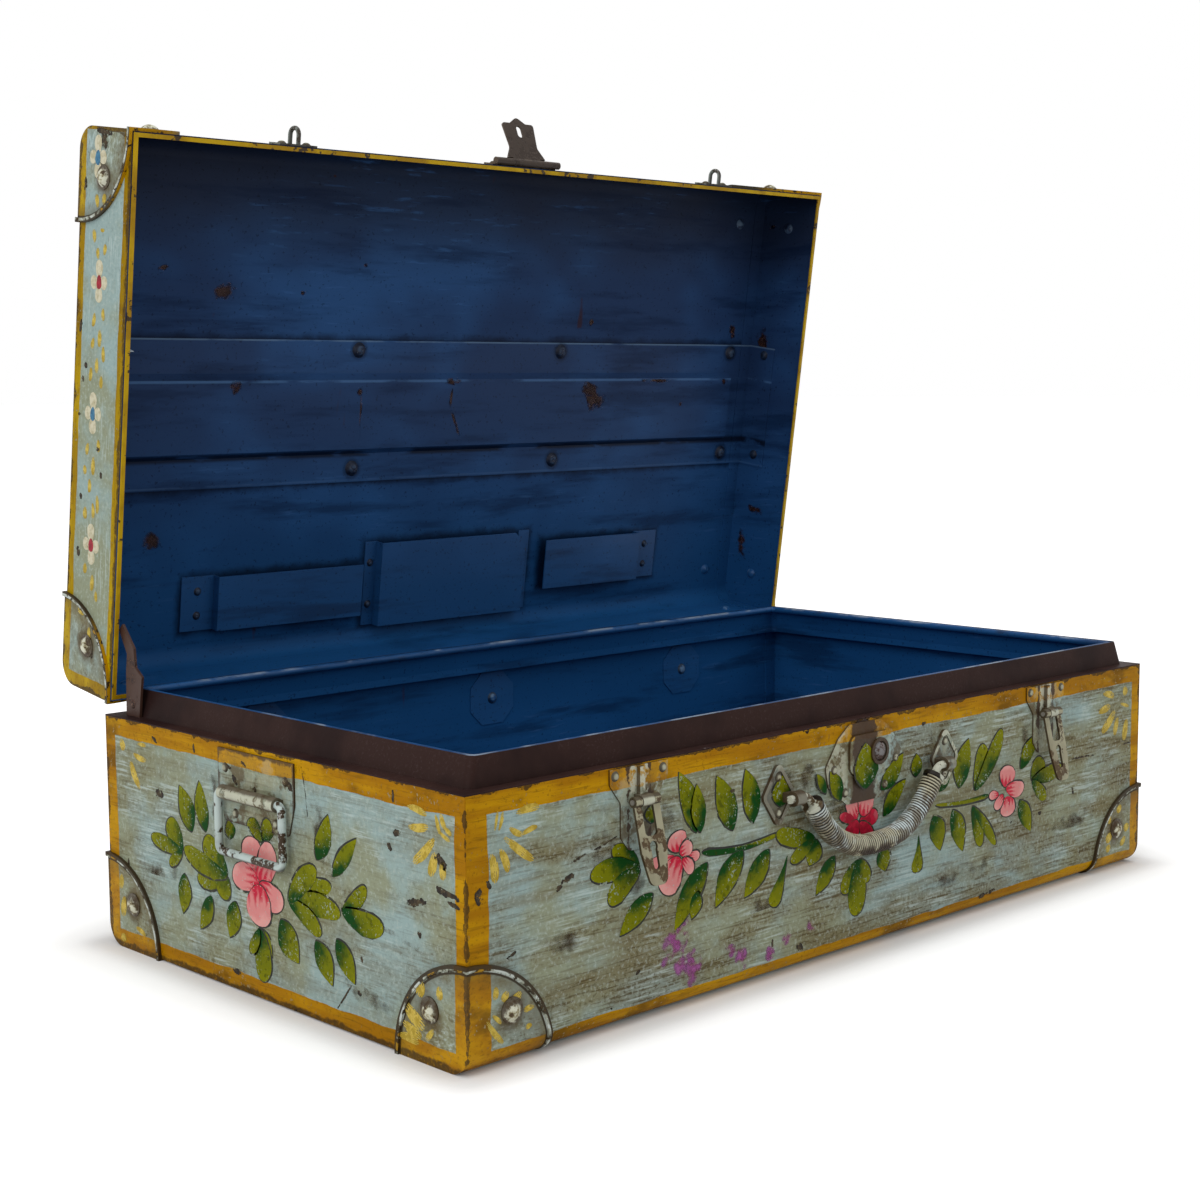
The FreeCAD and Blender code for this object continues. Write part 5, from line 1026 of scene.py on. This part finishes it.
lid_shape = (0.327, 0.181, 0.1525, 0.214)
lid_bands = (0.0105, 0.0105, 0.0012, 0.009, 0.0086, 0.0078)
dress(sided("lid_sheet_paint", True, (0, 0, 0.14), lambda start, spot: outer_paint(
    start, spot, lid_shape, (*lid_bands[:2], 0.0095, *lid_bands[3:]), (1, 10, 10), 0.9),
    # The seats of the clips, the pocket plate and the strap, which get painted shade round them inside.
    ((-0.164, 0.1375, 0.076, 0.0195), (0.1625, 0.131, 0.0665, 0.020), (0, 0.1345, 0.082, 0.032),
     (0, 0.004, 0.330, 0.052))), "lid_wrap")
dress(sided("lid_end_paint", True, (0, 0, 0.14), lambda start, spot: outer_paint(
    start, spot, lid_shape, lid_bands, (10, 1, 10), 0.1)), "lid_end_left", "lid_end_right")
lid_corner = (lid_shape[0], lid_shape[1], lid_shape[3])
dress(guards("lid_guard_paint", True, lid_corner, lid_shape, lid_bands),
      *("lid_guard_" + place for place in ("front_left", "front_right", "back_left", "back_right")))


# Lid rim. The turned edge round the lid's mouth, painted ochre and chipped to the steel
# where it meets the base.

made, start = new_tree("rim_edge_ochre")
spot = own_place(start, True)[0]
cloud = mottle(spot, 26, 50)
chips = mottle(spot, 120, 51, 5)
colour = start.between(shade(188, 152, 2), shade(154, 118, 0), cloud.rise(0.4, 0.6))
colour = colour.toward(shade(60, 48, 32), (chips + (cloud - 0.5) * 0.4).rise(0.61, 0.65))
coat(start, colour, chips * 0.2 + 0.4, chips, 0.0003)
dress(made, "lid_rim")


# Inner strap. A hat-section strap of sheet across the inside of the lid, its ends turned
# down, riveted through and painted navy; painted highlights run pale along its edges and
# bends, and painted shade lies along its foot and round its rivets.

made, start = new_tree("strap_navy")
spot, standing = own_place(start, True)[::2]
colour, rough, height = inner_paint(start, standing)
x, y = spot.parts()[:2]
wear_and_light_mottle = mottle(spot, 60, 52, 4, (0.3, 1, 1))
# Painted highlights and shade: pale lines along the strap's edges, near black lines below its crown and
# at its foot.
for edge, wide, tone, share in (
        (-0.0476, 0.0011, (112, 140, 168), 0.45), (-0.0188, 0.0014, (84, 122, 168), 0.5),
        (0.0345, 0.0040, (8, 14, 28), 0.85), (0.0545, 0.0010, (70, 100, 140), 0.3),
        (0.0568, 0.0010, (8, 14, 28), 0.9)):
    beside = (y - edge).size().rise(wide, wide * 0.3)
    colour = colour.toward(shade(*tone), beside * wear_and_light_mottle.rise(0.36, 0.5) * share)
# Painted shade round each rivet on the strap.
apart = ((x.size() - 0.2).size() - 0.1) * ((x.size() - 0.2).size() - 0.1)
apart = apart + ((y - 0.0025).size() - 0.0435) * ((y - 0.0025).size() - 0.0435)
apart = apart.maths("SQRT", apart) + (wear_and_light_mottle - 0.5) * 0.004
colour = colour.toward(shade(8, 13, 26), apart.rise(0.0094, 0.0066) * 0.45)
coat(start, colour, rough, height, 0.00025, Specular_IOR_Level=0.1)
dress(made, "lid_strap")


# Fittings of the lid. Clips and pocket plate inside, rivets, hinge leaves, the hasp, the
# latches' keepers and the stay: steel, worn as the base's fittings are.

dress(plain_navy("lid_inside_navy", True), "lid_clip_left", "lid_pocket_plate", "lid_clip_right")
inner_rivets = worn_metal("inner_rivet_worn", (92, 122, 156), (16, 28, 54), (204, 216, 224),
                          0.5, True, 300, None, "z")
dress(inner_rivets, "lid_strap_rivets", "lid_clip_rivets")
dress(guard_rivet("lid_guard_rivet", True, lid_corner, lid_shape), "lid_guard_rivets")
dress(worn_metal("lid_rivet_worn", cream, dark_steel, bright, 0.46, True, 160, lid_shape, "xy"),
      "lid_rivets")
dress(worn_metal("lid_hinge_worn", cream, dark_steel, bright, 0.42, True), "lid_hinge_leaves")
dress(worn_metal("hasp_steel", (92, 80, 70), (56, 44, 36), (150, 140, 130), 0.5, True, 120),
      "hasp_base", "hasp_leaf", "hasp_pin")
dress(worn_metal("keeper_steel", (128, 134, 130), (62, 54, 46), (170, 176, 174), 0.5, True, 160),
      "keeper_left", "keeper_right")
dress(worn_metal("stay_brown", (66, 46, 38), (44, 30, 27), (120, 90, 72), 0.45, False, 120),
      "lid_stay", "stay_rivet")


def stand_with_lid(place):
    """Where a place on the shut lid is with the lid open."""
    return hinge + shut_turn.transposed() @ (place - hinge)


# Strap rivets. Low domes with a spread foot, upset by hand through strap and lid; eight
# along the strap's two flanges and a smaller pair in each of its turned down ends.

dome_line = ((0, 2.9), (2.0, 2.7), (3.7, 2.0), (4.8, 1.0), (5.4, 0.25), (5.9, 0.05),
             (5.9, -0.15), (0, -0.15))
seats = [(x, y, 0.2122, (0, 0, -1), 1.0) for x in (-0.3, -0.1, 0.1, 0.3) for y in (-0.041, 0.046)]
seats += [(side * 0.3252, y, 0.1952, (-side, 0, 0), 0.7) for side in (-1, 1) for y in (-0.041, 0.046)]
seed = random.Random(11)
bm = bmesh.new()
for x, y, z, out, scale in seats:
    chain = [bm.verts.new((r * scale / 1000, 0, h * scale / 1000)) for r, h in dome_line]
    edges = [bm.edges.new(pair) for pair in zip(chain, chain[1:])]
    bmesh.ops.spin(bm, geom=chain + edges, cent=(0, 0, 0), axis=(0, 0, 1), steps=14, angle=math.tau)
    made = {vert for vert in bm.verts if not vert.tag}
    bmesh.ops.remove_doubles(bm, verts=list(made), dist=0.00001)
    made = [vert for vert in bm.verts if not vert.tag]
    face = Vector(out).to_track_quat("Z", "Y").to_matrix()
    knock = Matrix.Rotation(seed.uniform(0, 6), 3, "Z")
    for vert in made:
        dent = 1 + 0.05 * math.sin(vert.co.x * 2100 + x * 40) * math.cos(vert.co.y * 1700 + y * 90)
        vert.co = stand_with_lid(Vector((x, y, z)) + face @ (knock @ (vert.co * dent)))
        vert.tag = True
bmesh.ops.recalc_face_normals(bm, faces=bm.faces)
for face in bm.faces:
    face.smooth = True
rivets = bpy.data.objects.new("strap_rivet_domes", bpy.data.meshes.new("strap_rivet_domes"))
bm.to_mesh(rivets.data)
bm.free()
bpy.context.scene.collection.objects.link(rivets)
rivets.data.materials.append(inner_rivets)
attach(rivets, "lid")
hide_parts("lid_strap_rivets")


# Painted flowers and wear of the lid. Four-petalled cream flowers with yellow dashes run
# down its ends; inside, rust has come through in spots and run down the strap. They are
# laid out as the base's are, on the shut lid.

lid_hearts_red = ((90.3, 187.2, 81.3, 187.2, 6.5), (-79.3, 185.2, -88.3, 185.2, 6.5))
lid_hearts_blue = ((6.0, 188.7, -3.0, 188.7, 6.0), (167.5, 191.5, 158.0, 191.5, 6.5))
lid_dashes = (
    (70, 181, 62, 180, 4), (66, 191, 57, 193, 4), (56, 184, 45, 184, 4.6), (50, 191, 43, 193, 4),
    (46, 179, 36, 178, 4), (38, 186, 28, 186, 4.2), (31, 193, 22, 194, 4), (27, 180, 19, 180, 4),
    (-14, 181, -22, 180, 4), (-18, 193, -26, 195, 4), (-26, 186, -38, 186, 4.6),
    (-33, 197, -39, 196, 4.4), (-41, 190, -50, 190, 4.2), (-50, 180, -62, 179, 4),
    (-60, 194, -68, 194, 5), (-56, 185, -66, 184, 4), (-97, 192, -104, 192, 4.6),
    (-103, 182, -114, 183, 4.6), (-113, 177, -120, 176, 3.6), (-129, 197, -130, 188, 5),
    (-138, 182, -146, 181, 4), (100, 189, 107, 190, 4), (103, 182, 110, 181, 4),
    (110, 194, 118, 196, 4.2), (117, 185, 119.5, 185, 4.6), (132, 190, 140, 192, 4.4),
    (134, 183, 141, 182, 4.4))
lid_chips = (
    (179, 186, 168, 182, 8), (180, 196, 178, 176, 4), (0.3, 205.1, -1.5, 205, 4),
    (-18.7, 181, -21, 180.5, 3.4), (33, 199.7, 30, 199.6, 3.6), (-88, 201.5, -94, 201.5, 5),
    (-52, 200, -56, 200, 3), (24, 203, 20, 202.5, 2.6), (-34, 176, -39, 175, 3), (60, 207, 52, 208, 3),
    (150, 206, 141, 206, 3), (-150, 178, -158, 177, 3))
end_stains = (
    (-66, 200, -34, 197, 12), (-58, 207, -44, 193, 9), (96, 176, 92, 198, 6), (112, 200, 140, 196, 9),
    (-150, 204, -152, 196, 3))
panel_stains = (
    (-228, -78, -208, -83, 13), (-270, -93, -261, -96, 2.4), (-273, 91, -258, 90, 13),
    (-152, -82, -151, -80, 3), (-99, -103, -98, -101, 3), (-167, 128, -167, 137, 2.2),
    (130, -66, 133, -63, 6), (300, -66, 302, -52, 9))
strap_stains = (
    (-207, -20, -206.5, -10, 11), (-99.3, -15, -98.1, 24, 2.8), (-98.5, -14, -101, -8, 4.5),
    (-20, -18, -3, -18.5, 7), (-12.5, -15, -13.8, 4, 3), (-13.5, 2, -2, 25, 3.2),
    (122, -16, 152, 3, 17), (128, -17, 140, 10, 12), (186, -18.5, 226, -18, 3.6),
    (288, -17.5, 294, -17, 6), (238, 2, 241, 3, 3))
strap_scuffs = ((-295, -40, -285, -38.8, 2.2),)
lid_guard_thick, lid_guard_near = 0.0011, 0.1215
lid_end_inside, panel_inside, crown_inside = 0.3262, 0.2132, 0.2082


def lid_left_wall(across, high, proud):
    guard = lid_guard_thick if abs(across) > lid_guard_near else 0
    return stand_with_lid(Vector((-lid_shape[0] - proud - guard, -across, high)))


def lid_right_wall(across, high, proud):
    place = lid_left_wall(across, high, proud)
    return Vector((-place.x, place.y, place.z))


def lid_panel(across, deep, proud):
    return stand_with_lid(Vector((across, deep, panel_inside - proud)))


def lid_right_inside(across, high, proud):
    return stand_with_lid(Vector((lid_end_inside - proud, across, high)))


def strap_crown(across, deep, proud):
    return stand_with_lid(Vector((across, deep, crown_inside - proud)))


lid_petals, petal_wide = (), 9
for heart in lid_hearts_red + lid_hearts_blue:
    middle, level = (heart[0] + heart[2]) / 2, heart[1]
    lid_petals += ((middle + 2, level, middle + 14, level + 0.5, petal_wide),
                   (middle - 2, level, middle - 13, level - 0.5, petal_wide),
                   (middle, level + 1, middle - 0.5, level + 10, petal_wide),
                   (middle, level - 1, middle + 0.5, level - 10, petal_wide))


def flat_paint(name, first, other, shift):
    """Thin house paint between two tones, worn away in hairs."""
    made, start = new_tree(name)
    spot = along_mark(start)[0]
    hairs = mottle(spot, 260, shift)
    colour = start.between(shade(*first), shade(*other), hairs.rise(0.42, 0.62))
    coat(start, colour, hairs * 0.2 + 0.4, hairs, 0.00005, Alpha=hairs.rise(0.72, 0.66))
    return made


rust_stain = blot("rust_stain", (70, 44, 32), (44, 30, 30), 3.2, 1.3, 79, 140)
petal_cream = flat_paint("petal_cream", (204, 198, 172), (180, 172, 140), 80)
heart_red = flat_paint("heart_red", (160, 36, 52), (130, 30, 44), 81)
heart_blue = flat_paint("heart_blue", (70, 122, 150), (50, 96, 128), 82)
for name, finish, marks, kind, level, grow in (
        ("petal", petal_cream, lid_petals, "petal", 1, 0),
        ("heart_red", heart_red, lid_hearts_red, "lobe", 12, 0),
        ("heart_blue", heart_blue, lid_hearts_blue, "lobe", 12, 0),
        ("dash", dash_yellow, lid_dashes, "brush", 1, 0),
        ("chip", chip_dark, lid_chips, "lobe", 11, 0.0004)):
    paint_piece("lid_" + name + "_paint", finish,
                [(wall, marks, kind, 0, level, grow, 0) for wall in (lid_left_wall, lid_right_wall)],
                "lid")
scuff_white = flat_paint("scuff_white", (190, 200, 206), (120, 140, 160), 83)
for name, finish, row in (
        ("panel_rust_stains", rust_stain, (lid_panel, panel_stains, "lobe", 0, 1, 0.001, 0)),
        ("end_rust_stains", rust_stain, (lid_right_inside, end_stains, "lobe", 0, 1, 0.001, 0)),
        ("strap_rust_stains", rust_stain, (strap_crown, strap_stains, "lobe", 0, 1, 0.0006, 0)),
        ("strap_scuff", scuff_white, (lid_panel, strap_scuffs, "leaf", 0.0011, 1, 0, 0))):
    paint_piece(name, finish, [row], "lid")
